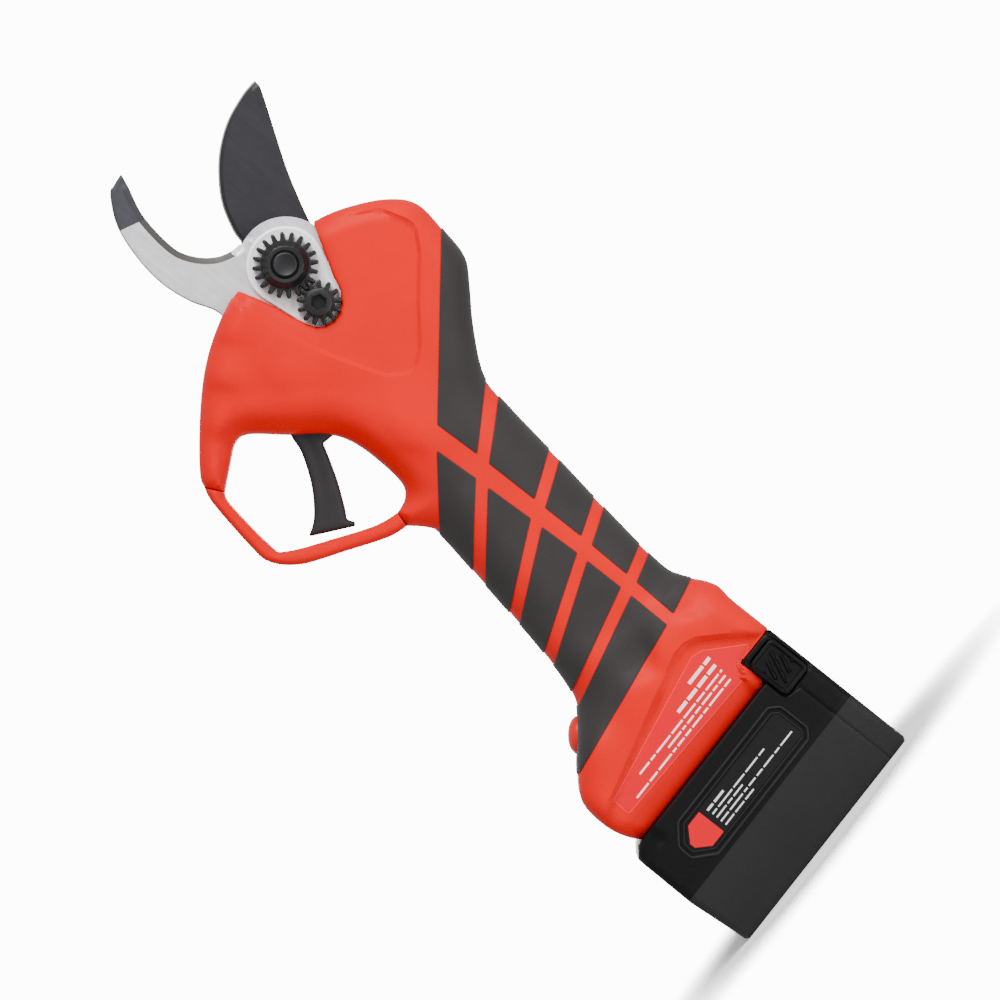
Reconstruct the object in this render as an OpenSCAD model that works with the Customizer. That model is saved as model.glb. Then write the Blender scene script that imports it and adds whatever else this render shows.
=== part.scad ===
// Battery electric pruner, standing upright on its battery pack.
// Z runs from the flat battery base up to the blades, -X is the trigger side,
// +X is the back of the handle, and -Y is the side that carries the tension nut.
// The profile is drawn in the XZ plane and given its thickness along Y.

/* [Handle] */
// Half thickness of the gear head, along Y
head_half = 16.5; // [16:0.5:16.5]
// Half thickness of the grip, along Y
grip_half = 18; // [17:0.5:18]
// Half thickness of the foot that takes the battery, along Y
foot_half = 23.5; // [22:0.5:25]
// Wall thickness of the plastic shells
wall = 2.4; // [2:0.1:2.8]
// Depth of the rubber grip inlays
grip_depth = 1.6; // [1.6:0.1:1.8]

/* [Blades] */
// How far the cutting blade swings from open to shut, in degrees
blade_swing = 58; // [40:1:60]
// Thickness of the fixed hook
hook_thick = 5; // [4:0.5:5]
// Thickness of the cutting blade
blade_thick = 3.4; // [2.5:0.1:3.4]

/* [Tension gears] */
// Teeth on the tension nut
nut_teeth = 20; // [18:1:22]
// Teeth on the locking pinion
lock_teeth = 13; // [11:1:14]
// Module of the two tension gears
tension_module = 0.91; // [0.85:0.01:0.91]
// Radius of the pivot bolt's shank
bolt_r = 4; // [3:0.5:4]

/* [Gearbox] */
// Teeth on each sun gear
sun_teeth = 12; // [12:6:12]
// Teeth on each planet gear
planet_teeth = 18; // [18:6:18]
// Module of the planetary gears
planet_module = 0.45; // [0.4:0.01:0.45]
// Teeth on the bevel pinion
bevel_teeth = 10; // [10:1:10]
// Teeth that a full circle of the blade's sector gear would have
sector_full_teeth = 40; // [40:1:40]

/* [Battery] */
// Half thickness of the battery pack, along Y
pack_half = 24; // [23.5:0.5:25]
// Radius of one lithium cell
cell_r = 9.1; // [9:0.05:9.2]
// Length of one lithium cell
cell_len = 65; // [60:1:65]

/* [Hidden] */
$fn = 48;

// ---- colours
red = [0.93, 0.16, 0.12];
rubber = [0.26, 0.24, 0.25];
steel = [0.80, 0.80, 0.82];
dark_steel = [0.30, 0.29, 0.30];
oxide = [0.14, 0.14, 0.15];
black = [0.12, 0.12, 0.13];
brass = [0.76, 0.60, 0.32];
alloy = [0.66, 0.67, 0.69];
board_green = [0.10, 0.35, 0.22];
copper = [0.72, 0.43, 0.26];

// ---- the drive line: it runs down the handle from the blade pivot
pivot = [34.4, 232.8];
drive_tilt = 9.7;
drive_dir = [-sin(drive_tilt), -cos(drive_tilt)];
tension_distance = tension_module * (nut_teeth + lock_teeth) / 2;
lock_at = pivot + tension_distance * drive_dir;

// ---- stations along the drive line, counted from the pivot
bevel_near = 16;
bevel_far = 25;
bearing_top = 27;
bearing_end = 32;
block_end = 33.5;
output_plate = 36.5;
output_gears = 39.3;
middle_plate = 46;
input_gears = 48.8;
gearbox_end = 59;
motor_top = 61;
motor_end = 104;
board_top = 109;
board_end = 159;

// ---- levels across the thickness, along Y
hook_front = -9.5;
hook_back = hook_front + hook_thick;
blade_front = -4.4;
blade_back = blade_front + blade_thick;
plate_thick = 2;
plate_front = hook_front - plate_thick;
sector_back = 10.2;
case_back = 13;
case_inner = 10.4;
right_plate_back = case_back + plate_thick;
cover_back = -7.6;

// ---- radii
gearbox_r = 13.5;
motor_r = 14;
cradle_r = 16.6;
hub_r = 11;
case_r = 28.4;
sector_r = 25.4;
bush_r = 6;
pin_r = 1.5;
bearing_r = 8;
shaft_r = 4;
running = 0.05;

// ---- gears
ring_teeth = sun_teeth + 2 * planet_teeth;
planet_orbit = planet_module * (sun_teeth + planet_teeth) / 2;
gear_face = 6;
bevel_module = 2 * bevel_far / sector_full_teeth;
bevel_ratio = sector_full_teeth / bevel_teeth;
sector_pitch = 360 / sector_full_teeth;
sector_teeth = 10;

// ---- trigger
trigger_at = [7, 202];
trigger_half = 4.5;

// ---- battery
seam_x = 30.5;
pack_top = 43;
tower_top = 52.2;
pack_bend = 21;

// ---- power button: it stands square to the front slope of the foot
button_at = [-22, 76.5];
button_lean = 38.3;

// -------------------------------------------------------------------------
// Curves
// -------------------------------------------------------------------------

// One point of a smooth curve through four neighbours, between b and c
function spline(a, b, c, d, t) =
  0.5 * (2 * b + (c - a) * t + (2 * a - 5 * b + 4 * c - d) * t * t
         + (3 * b - a - 3 * c + d) * t * t * t);

// A smooth open curve through the points
function curve(p, n = 2) = [
  for (i = [0 : len(p) - 2]) for (k = [0 : n - 1])
    spline(p[max(i - 1, 0)], p[i], p[i + 1], p[min(i + 2, len(p) - 1)], k / n),
  p[len(p) - 1]
];

// An arc of radius r about c, from angle a to angle b
function arc(c, r, a, b, n = 8) =
  [for (i = [0 : n]) c + r * [cos(a + (b - a) * i / n), sin(a + (b - a) * i / n)]];

// -------------------------------------------------------------------------
// Frames
// -------------------------------------------------------------------------

// Gives an XZ outline its thickness, from y0 to y1
module slab(y0, y1) {
  translate([0, y1, 0]) rotate([90, 0, 0]) linear_extrude(y1 - y0) children();
}

// A round post or hole along Y at an XZ point
module post(at, r, y0, y1) {
  translate([at[0], y0, at[1]]) rotate([-90, 0, 0]) cylinder(r = r, h = y1 - y0);
}

// Puts its children on the drive line, with Z running down it from station t
module on_drive(t = 0) {
  translate([pivot[0], 0, pivot[1]]) rotate([0, 180 + drive_tilt, 0])
    translate([0, 0, t]) children();
}

// Puts its children on the pivot, with Z along Y and turns counted below the X axis
module on_pivot() {
  translate([pivot[0], 0, pivot[1]]) rotate([-90, 0, 0]) children();
}

// Puts its children on the foot's front slope, with Z pointing out of it
module on_button() {
  translate([button_at[0], 0, button_at[1]]) rotate([0, -button_lean, 0]) children();
}

// -------------------------------------------------------------------------
// Gears
// -------------------------------------------------------------------------

function involute(base, a) =
  base * [cos(a) + a * PI / 180 * sin(a), sin(a) - a * PI / 180 * cos(a)];

// The angle of roll at which an involute reaches radius r
function roll(base, r) = r <= base ? 0 : sqrt(pow(r / base, 2) - 1) * 180 / PI;

function polar(p) = atan2(p[1], p[0]);

function turned(p, a) = [p[0] * cos(a) - p[1] * sin(a), p[0] * sin(a) + p[1] * cos(a)];

// One flank from root to tip, for a tooth centred on the X axis
function flank(m, z, tip, root, slack, n = 3) =
  let (
    base = m * z / 2 * cos(20),
    pitch_angle = polar(involute(base, roll(base, m * z / 2))),
    half = 90 / z - slack / (m * z / 2) * 90 / PI + pitch_angle,
    low = max(base, root)
  ) concat(
    root < base ? [turned([root, 0], -half)] : [],
    [for (i = [0 : n])
      turned(involute(base, roll(base, low + (tip - low) * i / n)), -half)]
  );

// A whole spur gear outline. slack thins each tooth by that much at the pitch circle
function gear_points(m, z, tip, root, slack) =
  let (one = flank(m, z, tip, root, slack)) [
    for (i = [0 : z - 1]) each concat(
      [for (p = one) turned(p, 360 * i / z)],
      [for (k = [len(one) - 1 : -1 : 0]) turned([one[k][0], -one[k][1]], 360 * i / z)]
    )
  ];

module gear_2d(m, z, slack = 0.12, add = 0.9, ded = 1.2) {
  polygon(gear_points(m, z, m * (z / 2 + add), m * (z / 2 - ded), slack));
}

// Angle by which a planet on the sun's X axis is turned so that its gap faces the sun's tooth
planet_phase = 180 + (planet_teeth % 2 == 0 ? 180 / planet_teeth : 0);

module planet_gear(n, station) {
  place = 120 * n;
  spin = place + planet_phase + place * sun_teeth / planet_teeth;
  color(alloy) on_drive(station) rotate(place) translate([planet_orbit, 0, 0])
    rotate(spin - place) difference() {
      linear_extrude(gear_face) gear_2d(planet_module, planet_teeth);
      translate([0, 0, -1]) cylinder(r = 1.5 + running, h = gear_face + 2);
    }
}

// -------------------------------------------------------------------------
// Housing outline
// -------------------------------------------------------------------------

head_front = curve([[19.5, 240.5], [11, 238.9], [0, 235.4], [-10.5, 230], [-22, 222],
  [-31, 214.6], [-33.2, 211]]);
finger_side = curve([[-30.6, 205.6], [-22, 210], [-17, 212.2], [-12.5, 210.8], [-5, 201],
  [2, 192.5], [5, 185], [5.6, 176], [4.6, 165.5], [1.5, 161.8], [-3.2, 160.9]]);
grip_front = curve([[-4.6, 156.2], [-1, 150.8], [-0.4, 146], [-4, 126], [-8.6, 102],
  [-13, 86.5], [-18.5, 79.6], [-31, 70], [-37, 63.5], [-38.2, 54], [-36.8, 47], [-34.8, 43.2]]);
foot_back = curve([[38.3, 52.6], [38.4, 66], [38.9, 73], [34.8, 82], [33.6, 90], [36.6, 114],
  [40.2, 138], [42.5, 154], [45.2, 166], [55, 178], [63.5, 186], [69.5, 192.5], [71.9, 202],
  [73.4, 213.5], [68.5, 222], [58.5, 230.2], [50.3, 234.7]]);
notch_side = curve([[48.3, 234.4], [45.5, 229], [41, 220.2], [37.6, 214.2], [31.6, 211.3],
  [26.2, 213.6], [23.9, 220], [22.4, 229], [19.5, 240.5]]);

module housing_2d() {
  polygon(concat(head_front, finger_side, grip_front, [[25.2, 43.2], [25.2, 52.6]],
    foot_back, notch_side));
}

// Where each thickness of the housing applies
module arm_mask() { polygon([[-45, 160], [-45, 245], [-8, 245], [-14, 205], [-14, 160]]); }
module head_mask() { polygon([[-8, 245], [-9, 222], [4, 190], [24, 172], [90, 190], [90, 245]]); }
module grip_mask() {
  polygon([[-12, 150], [-9, 165], [-2, 215], [30, 215], [80, 205], [80, 72], [-40, 72], [-40, 82],
    [-20, 100]]);
}
module foot_mask() { polygon([[-45, 40], [45, 40], [45, 80], [-45, 74]]); }
module trunk_mask() { polygon([[-16, 150], [-16, 226], [60, 240], [60, 150]]); }

zone_growth = 0.013;

// How far the surface has drawn in from the outline at height y, with half thickness h
function drawn_in(y, h, round) = round * (1 - sqrt(max(0, 1 - pow(y / h, 2))));

// The housing's cross section at height y, taken in by skin all round. The zones grow a
// little with y, so that no two levels share an edge
module section(y, skin = 0) {
  zones = [[9, 5], [head_half, 7], [grip_half, 15], [foot_half, 7], [12, 5]];
  for (i = [0 : 4]) {
    half = zones[i][0] - skin;
    if (y < half)
      intersection() {
        offset(delta = -skin - drawn_in(y, half, zones[i][1])) housing_2d();
        offset(delta = y * zone_growth) {
          if (i == 0) arm_mask();
          if (i == 1) head_mask();
          if (i == 2) grip_mask();
          if (i == 3) foot_mask();
          if (i == 4) trunk_mask();
        }
      }
  }
}

// Levels at which the housing steps in, from the parting plane outwards
levels = [0, 5, 9, 12, 14.5, 16.5, 18, 21, foot_half];

module grip_patches_2d() {
  inner_front = [[18.9, 163], [19.6, 148.7], [19.7, 144.2], [20.3, 128.4], [20.4, 124.3],
    [20.8, 111.2], [20.8, 107.4], [20.8, 94.6], [20.8, 90.7], [20.5, 77]];
  outer_front = [[-0.3, 147], [-2.7, 132.5], [-3.6, 127], [-5.8, 116], [-6.7, 111.5],
    [-8.7, 100.5], [-9.7, 96], [-12.8, 86.7], [-15.3, 82.5], [-31, 70]];
  inner_back = [[25, 167.6], [25.4, 152.8], [25.4, 148.3], [25.4, 131], [25.4, 127],
    [25.4, 113.3], [25.3, 109.2], [24.9, 95.6], [24.9, 91.9], [24.2, 77.5]];
  outer_back = [[72, 203.1], [44.5, 164.5], [42.8, 158.3], [39.9, 136.8], [39.1, 132.3],
    [36.9, 117.3], [36.2, 113], [34.5, 98], [33.9, 94], [35.2, 79.5]];
  for (i = [0 : 2 : 8]) {
    polygon([inner_front[i], outer_front[i] + (outer_front[i] - inner_front[i]) * 0.4,
      outer_front[i + 1] + (outer_front[i + 1] - inner_front[i + 1]) * 0.4, inner_front[i + 1]]);
    polygon([inner_back[i], outer_back[i] + (outer_back[i] - inner_back[i]) * 0.4,
      outer_back[i + 1] + (outer_back[i + 1] - inner_back[i + 1]) * 0.4, inner_back[i + 1]]);
  }
}

// -------------------------------------------------------------------------
// Outlines of the metal parts
// -------------------------------------------------------------------------

hook_outer = curve([[25, 288.8], [21.5, 288.4], [18.5, 287.5], [12.4, 280], [8.6, 269.5],
  [7.1, 258.6], [8.2, 249], [10.6, 241.5], [10.8, 234], [12.6, 226]]);
hook_inner = curve([[23.6, 284.5], [19.6, 275.8], [17.8, 264], [19, 257.5], [23, 251.5],
  [28.5, 248.3], [34, 248]]);

module hook_2d() {
  difference() {
    union() {
      polygon(concat(hook_outer, [[13.2, 220.8], [18, 219.4], [22, 221.5],
        [24.5, 225], pivot],
        [for (i = [len(hook_inner) - 1 : -1 : 0]) hook_inner[i]], [[25.3, 288.5]]));
      translate(pivot) circle(r = 13.8);
    }
    translate(lock_at) circle(r = 4.3);
  }
}

blade_edge = curve([[72.4, 275.1], [67, 275.4], [57, 273.8], [47, 269], [38, 261], [33.1, 252.8],
  [31.8, 248.4]]);
blade_spine = curve([[48, 233], [51.4, 240], [57.1, 250.3], [63.2, 259.5], [70.2, 269.8],
  [72.2, 273]]);

module blade_2d() {
  polygon(concat(blade_edge, [pivot - [6, 0], pivot], blade_spine));
  translate(pivot) circle(r = 13);
}

module teardrop_2d() {
  hull() {
    translate(pivot) circle(r = 11.9);
    translate(lock_at) circle(r = 7.9);
  }
}

// The housing with its notch filled in
module head_fill_2d() {
  housing_2d();
  polygon(notch_side);
}

case_ears = [for (a = [-150, -62, -35]) pivot + 31 * [cos(a), sin(a)]];
neck_half = 13.4;

module on_drive_2d() { translate(pivot) rotate(180 - drive_tilt) children(); }

module case_2d() {
  intersection() {
    offset(delta = -2.9) head_fill_2d();
    union() {
      translate(pivot) circle(r = 13.2);
      intersection() {
        translate(pivot) circle(r = case_r);
        polygon([[0, 190], [0, 236.5], [20, 236.5], [24, 229], [45, 229], [70, 226], [70, 190]]);
      }
      on_drive_2d() translate([-neck_half, 0]) square([2 * neck_half, block_end]);
      for (p = case_ears) translate(p) circle(r = 3.2);
    }
  }
}

module case_wall_2d() {
  intersection() {
    difference() {
      case_2d();
      difference() {
        offset(delta = -2.3) case_2d();
        for (p = case_ears) translate(p) circle(r = 3.2);
      }
    }
    polygon([[0, 190], [0, 233], [12, 233], [14, 224], [70, 224], [70, 190]]);
  }
}

// Where the hook's lug is screwed down, left of the pivot
hook_screw_at = [[15.2, 233.5], [17, 224.6]];

module hook_boss_2d() {
  intersection() {
    case_2d();
    difference() {
      translate(pivot) circle(r = case_r);
      translate(pivot) circle(r = 15.6);
    }
    polygon([pivot, pivot + 60 * [cos(167), sin(167)], pivot + 60 * [cos(215), sin(215)]]);
  }
}

// -------------------------------------------------------------------------
// Housing parts. Each half is built for +Y and mirrored for the left.
// -------------------------------------------------------------------------

screw_posts = [[-17, 219], [63, 205], [47.5, 178.5], [-6, 92], [27.5, 97], [-29, 62], [31, 60]];

module posts_2d(r) { for (p = screw_posts) translate(p) circle(r = r, $fn = 24); }

// The hollow inside one half at height y, leaving the screw posts standing
module hollow_2d(y) {
  difference() {
    section(y, wall);
    posts_2d(3);
  }
}

module half_skin() {
  for (i = [0 : len(levels) - 2]) {
    mid = (levels[i] + levels[i + 1]) / 2;
    slab(levels[i], levels[i + 1]) difference() {
      section(mid);
      hollow_2d(mid);
      if (mid < grip_half)
        intersection() {
          difference() {
            section(mid);
            section(mid, grip_depth);
          }
          grip_patches_2d();
        }
    }
  }
}

// The rubber inlays of one half
module half_grip() {
  for (i = [0 : len(levels) - 2]) {
    mid = (levels[i] + levels[i + 1]) / 2;
    if (mid < grip_half)
      slab(levels[i], levels[i + 1]) intersection() {
        difference() {
          section(mid);
          section(mid, grip_depth);
        }
        grip_patches_2d();
      }
  }
}

// Rings that hold the gearbox and the motor, as [station, bore radius, reach along Y]. Those
// further down stop short of the rubber inlays
under_grip = grip_half - grip_depth - 0.1;
cradles = [[40, gearbox_r, cradle_r], [54, gearbox_r, cradle_r], [68, motor_r, under_grip],
  [84, motor_r, under_grip], [98, motor_r, under_grip]];

module cradle_rings() {
  for (c = cradles)
    on_drive(c[0]) difference() {
      cylinder(r = cradle_r, h = 2.5);
      translate([0, 0, -1]) cylinder(r = c[1] + 0.1, h = 5);
      translate([-30, -30, -1]) cube([60, 30, 5]);
      translate([-30, c[2], -1]) cube([60, 5, 5]);
    }
}

trigger_slot = [[-7, 203.8], [-3, 206.8], [7, 208.6], [13.6, 205], [13.6, 192], [10, 187.5],
  [2.5, 187.5], [-1, 194]];

// Everything cut out of both halves, in its true place
module shell_cuts() {
  slab(hook_front - 0.3, case_back + 0.3) offset(delta = 0.4) case_2d();
  slab(blade_front - 0.2, blade_back + 0.3) translate(pivot) circle(r = 21.2);
  slab(hook_front - 0.3, hook_back + 0.2) offset(delta = 0.3) hook_2d();
  slab(-trigger_half - 0.4, trigger_half + 0.4) polygon(trigger_slot);
  slab(-3.2, 3.2) guard_tongues_2d(0.2);
  on_drive(block_end - 8) cylinder(r = gearbox_r + 0.15, h = 8.5);
  button_hole();
  translate([-31, -11.3, 43]) cube([58, 22.6, 3]);
  translate([-31, -14.4, 45.6]) cube([58, 28.8, 4.4]);
  slab(-30, -foot_half + 1) offset(delta = 0.3) label_2d();
}

module left_shell() {
  color(red) difference() {
    mirrored(true) union() {
      half_skin();
      cradle_rings();
      post(trigger_at, 2.4, 5.2, head_half - 1);
    }
    shell_cuts();
    for (p = screw_posts) post(p, 1.27, -8.4, 1);
    post(trigger_at, 1.52, -11.1, 0);
  }
}

module right_shell() {
  color(red) difference() {
    union() {
      half_skin();
      cradle_rings();
      post(trigger_at, 2.4, 5.2, head_half - 1);
    }
    shell_cuts();
    for (p = screw_posts) post(p, 1.4, -1, 5);
    screw_bores();
    post(trigger_at, 1.52, 0, 11.1);
  }
}

module mirrored(left) { if (left) mirror([0, 1, 0]) children(); else children(); }

// The power button's hole, and the room its collar needs behind the wall
module button_hole() {
  on_button() translate([0, 0, -6]) cylinder(r = 6.2, h = 12);
  on_button() translate([0, 0, -7]) cylinder(r = 7.7, h = 3.9);
}

module grip(left) {
  color(rubber) difference() {
    mirrored(left) half_grip();
    button_hole();
    if (!left) screw_bores();
  }
}
module left_grip() { grip(true); }
module right_grip() { grip(false); }

// Wells for the shell screws' heads, open on the right side
module screw_bores() { for (p = screw_posts) post(p, 2.6, 5, 30); }

module shell_screws() {
  color(steel) for (p = screw_posts)
    difference() {
      union() {
        post(p, 1.25, -8, 5);
        post(p, 2.4, 5, 7.2);
      }
      post(p, 1.1, 6, 8);
    }
}

guard_outer = curve([[-33.2, 211], [-35.3, 206], [-38.3, 190], [-38.6, 182], [-33.3, 174],
  [-22, 166], [-10.6, 158.4], [-4.6, 156.2]]);
guard_inner = curve([[-3.2, 160.9], [-10, 163.6], [-20, 170.3], [-33, 180], [-34.7, 185],
  [-32.4, 202], [-30.6, 205.6]]);

// Tongues on the ends of the guard, which the two shells close on
module guard_tongues_2d(gap = 0) {
  offset(delta = gap) {
    polygon([[-33, 210.5], [-31, 206.5], [-27.2, 209.2], [-28.6, 212.4]]);
    polygon([[-4.4, 157], [-3.6, 160], [1.6, 158.6], [0.8, 155.2]]);
  }
}

module trigger_guard() {
  color(red) union() {
    slab(-6, 6) polygon(concat(guard_outer, guard_inner));
    slab(-8, 8) offset(delta = -0.9) polygon(concat(guard_outer, guard_inner));
    slab(-3, 3) guard_tongues_2d();
  }
}

label_points = [[-31, 57.8], [17.5, 64.5], [20.5, 63.5], [30, 54.6], [24.4, 52.3], [21.6, 48.6],
  [-31.3, 50.2]];
module label_2d() { polygon(label_points); }

module rating_label() {
  color([1, 0.25, 0.22]) slab(-foot_half + 0.4, -foot_half + 1) label_2d();
}

// -------------------------------------------------------------------------
// Blades and what holds them
// -------------------------------------------------------------------------

module hook_blade() {
  color(steel) difference() {
    slab(hook_front, hook_back) hook_2d();
    post(pivot, bolt_r + running, -20, 20);
    for (p = hook_screw_at) {
      post(p, 2.1, -20, 20);
      post(p, 3.6, -20, hook_front + 2);
    }
  }
}

module hook_screws() {
  color(oxide) for (p = hook_screw_at)
    difference() {
      union() {
        post(p, 3.5, hook_front + 0.1, hook_front + 2);
        post(p, 2, hook_front + 2, 1.5);
      }
      translate([p[0], hook_front, p[1]]) rotate([-90, 0, 0]) cylinder(r = 1.5, h = 1.4, $fn = 6);
    }
}

// Dowels that lock the sector gear to the blade
sector_pin_at = [for (a = [20, 140, 260]) pivot + 8.4 * [cos(a), sin(a)]];

module cutting_blade() {
  color(dark_steel) difference() {
    union() {
      slab(blade_front + 0.5, blade_back) blade_2d();
      slab(blade_front, blade_back) translate(pivot) circle(r = 15);
    }
    post(pivot, bush_r + running, -20, 20);
    for (p = sector_pin_at) post(p, pin_r + running, -20, 20);
  }
}

// One tooth of the sector, drawn towards the cone's tip where the axes cross
module sector_tooth(turn) {
  add = 0.9 * bevel_module;
  ded = 1.25 * bevel_module;
  half = PI * bevel_module / 4 - 0.16;
  pitch_y = bevel_far / bevel_ratio;
  rise = tan(20);
  corner = [[-half - ded * rise, pitch_y + ded + 0.3], [half + ded * rise, pitch_y + ded + 0.3],
    [half - add * rise, pitch_y - add], [-half + add * rise, pitch_y - add]];
  rotate(turn) polyhedron(
    points = [for (r = [bevel_near, bevel_far]) for (c = corner)
      [r, c[0] * r / bevel_far, c[1] * r / bevel_far]],
    faces = [[3, 2, 1, 0], [4, 5, 6, 7], [1, 5, 4, 0], [2, 6, 5, 1], [3, 7, 6, 2], [0, 4, 7, 3]]);
}

module sector_gear() {
  root = bevel_far / bevel_ratio + 1.25 * bevel_module;
  first = 90 + drive_tilt - 1.5 * sector_pitch;
  web_r = bevel_near - 0.7;
  color(alloy) on_pivot() difference() {
    union() {
      translate([0, 0, blade_back]) cylinder(r = hub_r, h = sector_back - blade_back);
      rotate(first) rotate_extrude(angle = sector_teeth * sector_pitch)
        polygon([[hub_r - 1, root * web_r / bevel_far], [web_r, root * web_r / bevel_far],
          [sector_r, root * sector_r / bevel_far], [sector_r, sector_back], [hub_r - 1, sector_back]]);
      for (i = [0 : sector_teeth - 1])
        sector_tooth(first + (i + 0.5) * sector_pitch);
    }
    translate([0, 0, -5]) cylinder(r = bush_r + running, h = 30);
    for (p = sector_pin_at)
      translate([p[0] - pivot[0], pivot[1] - p[1], -5]) cylinder(r = pin_r + running, h = 14);
  }
}

module sector_pins() {
  color(oxide) for (p = sector_pin_at) post(p, pin_r, blade_front + 0.2, 8.8);
}

module pivot_bush() {
  color(brass) difference() {
    post(pivot, bush_r, blade_front + 0.1, case_inner - 0.1);
    post(pivot, bolt_r + running, -20, 20);
  }
}

module pivot_bolt() {
  color(oxide) union() {
    post(pivot, bolt_r, -19.6, right_plate_back);
    post(pivot, bolt_r - 0.5, -20.1, -19);
    translate([pivot[0], right_plate_back, pivot[1]]) rotate([-90, 0, 0])
      cylinder(r = 7.5, h = 4.6, $fn = 6);
    post(pivot, 8.5, right_plate_back, right_plate_back + 1);
  }
}

nut_front = plate_front - 5.1;

module tension_nut() {
  color(oxide) difference() {
    union() {
      slab(nut_front, plate_front - 0.1) translate(pivot)
        rotate(-90 - drive_tilt) gear_2d(tension_module, nut_teeth, 0.25, 1, 1.8);
      translate([pivot[0], plate_front - 0.1, pivot[1]]) rotate([90, 0, 0])
        rotate_extrude() polygon([[0, 0], [7.2, 0], [7.2, 5], [5.7, 6.6], [5.7, 8], [0, 8]]);
    }
    post(pivot, bolt_r + running, -30, 0);
    translate([pivot[0], nut_front - 4, pivot[1]]) rotate([0, 35, 0])
      translate([-10, 0, -16.2]) cube([20, 3.4, 10]);
  }
}

module lock_pinion() {
  color(oxide) difference() {
    slab(nut_front + 0.2, plate_front - 0.1) translate(lock_at)
      rotate(90 - drive_tilt + 180 / lock_teeth) gear_2d(tension_module, lock_teeth, 0.25, 1, 1.5);
    post(lock_at, 2.55, -30, 0);
  }
}

module lock_screw() {
  head = nut_front + 0.2;
  color(oxide) difference() {
    union() {
      post(lock_at, 2.5, head, -6.2);
      post(lock_at, 4.2, head - 2.6, head);
    }
    translate([lock_at[0], head - 3, lock_at[1]]) rotate([-90, 0, 0])
      cylinder(r = 2.31, h = 2.6, $fn = 6);
  }
}

module side_plate(y0) {
  color([0.9, 0.9, 0.91]) difference() {
    slab(y0, y0 + plate_thick) teardrop_2d();
    post(pivot, bolt_r + running, -20, 20);
    post(lock_at, 2.6, -20, 20);
  }
}
module left_side_plate() { side_plate(plate_front); }
module right_side_plate() { side_plate(case_back); }

module gear_case() {
  color(alloy) difference() {
    union() {
      slab(case_inner, case_back) case_2d();
      slab(cover_back, case_inner) case_wall_2d();
      slab(hook_back, 2.4) hook_boss_2d();
      on_drive(bearing_top - 0.5) cylinder(r = neck_half, h = block_end - bearing_top + 0.5);
    }
    slab(hook_front - 1, hook_back) offset(delta = 0.15) hook_2d();
    post(pivot, bolt_r + running, -20, 20);
    on_drive(bearing_top) cylinder(r = bearing_r + 0.01, h = bearing_end - bearing_top + 3);
    on_drive(bevel_near) cylinder(r = 6.4, h = 20);
    for (p = hook_screw_at) post(p, 2.02, -20, 2);
    for (p = case_ears) post(p, 1.3, -20, 4);
    post(lock_at, 1.6, 0, 20);
  }
}

// The cover beside the hook. It carries the sleeve that the locking screw turns in
module case_cover() {
  color(alloy) difference() {
    union() {
      slab(hook_front, cover_back) case_2d();
      post(lock_at, 3.6, hook_front, -6);
    }
    slab(hook_front - 1, hook_back) offset(delta = 0.15) hook_2d();
    post(pivot, 14.1, -20, -hook_front);
    post(lock_at, 2.52, -20, 0);
    on_drive(bearing_top - 0.7) cylinder(r = neck_half + 0.1, h = 10);
    for (p = case_ears) post(p, 1.5, -20, 0);
  }
}

module case_screws() {
  color(steel) for (p = case_ears) {
    post(p, 1.28, hook_front, 3);
    post(p, 2.5, hook_front - 1.6, hook_front);
  }
}

// -------------------------------------------------------------------------
// Drive train
// -------------------------------------------------------------------------

module pinion_bearing() {
  color(steel) on_drive(bearing_top) {
    difference() {
      cylinder(r = bearing_r, h = 5);
      translate([0, 0, -1]) cylinder(r = 6.7, h = 7);
    }
    difference() {
      cylinder(r = 5.3, h = 5);
      translate([0, 0, -1]) cylinder(r = shaft_r + 0.02, h = 7);
    }
    for (i = [0 : 8]) rotate(40 * i) translate([6, 0, 2.5]) sphere(r = 1);
    difference() {
      translate([0, 0, 2.2]) cylinder(r = 6.72, h = 0.6);
      translate([0, 0, 1]) cylinder(r = 5.28, h = 3);
    }
  }
}

// The bevel pinion narrows towards the point where its axis meets the pivot
module bevel_pinion() {
  color(dark_steel) on_drive() difference() {
    union() {
      translate([0, 0, bevel_far]) mirror([0, 0, 1])
        linear_extrude(bevel_far - bevel_near, scale = bevel_near / bevel_far)
        gear_2d(bevel_module, bevel_teeth, 0.2, 0.85, 1.1);
      translate([0, 0, bevel_far]) cylinder(r = 5, h = bearing_top - bevel_far - 0.1);
    }
    translate([0, 0, bevel_near - 1]) cylinder(r = 2, h = 20);
  }
}

module carrier(plate, gears) {
  on_drive(plate) cylinder(r = 10, h = 2.5);
  for (i = [0 : 2])
    on_drive(plate) rotate(120 * i) translate([planet_orbit, 0, 0])
      cylinder(r = 1.5, h = gears - plate + gear_face - 0.2);
}

module output_carrier() {
  color(steel) union() {
    carrier(output_plate, output_gears);
    on_drive(bearing_top) cylinder(r = shaft_r, h = output_plate - bearing_top + 1);
    on_drive(bevel_near + 0.5) cylinder(r = 1.98, h = 12);
  }
}

module sun_2d() { gear_2d(planet_module, sun_teeth); }

module middle_carrier() {
  color(steel) difference() {
    union() {
      carrier(middle_plate, input_gears);
      on_drive(output_gears) linear_extrude(middle_plate - output_gears + 1) sun_2d();
    }
    on_drive(middle_plate + 0.8) cylinder(r = 1.8, h = 5);
  }
}

module output_planet_1() { planet_gear(0, output_gears); }
module output_planet_2() { planet_gear(1, output_gears); }
module output_planet_3() { planet_gear(2, output_gears); }
module input_planet_1() { planet_gear(0, input_gears); }
module input_planet_2() { planet_gear(1, input_gears); }
module input_planet_3() { planet_gear(2, input_gears); }

module input_sun() {
  color(steel) on_drive(input_gears) difference() {
    linear_extrude(gearbox_end - input_gears - 0.5) sun_2d();
    translate([0, 0, -1]) cylinder(r = 1.5, h = 20);
  }
}

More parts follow.
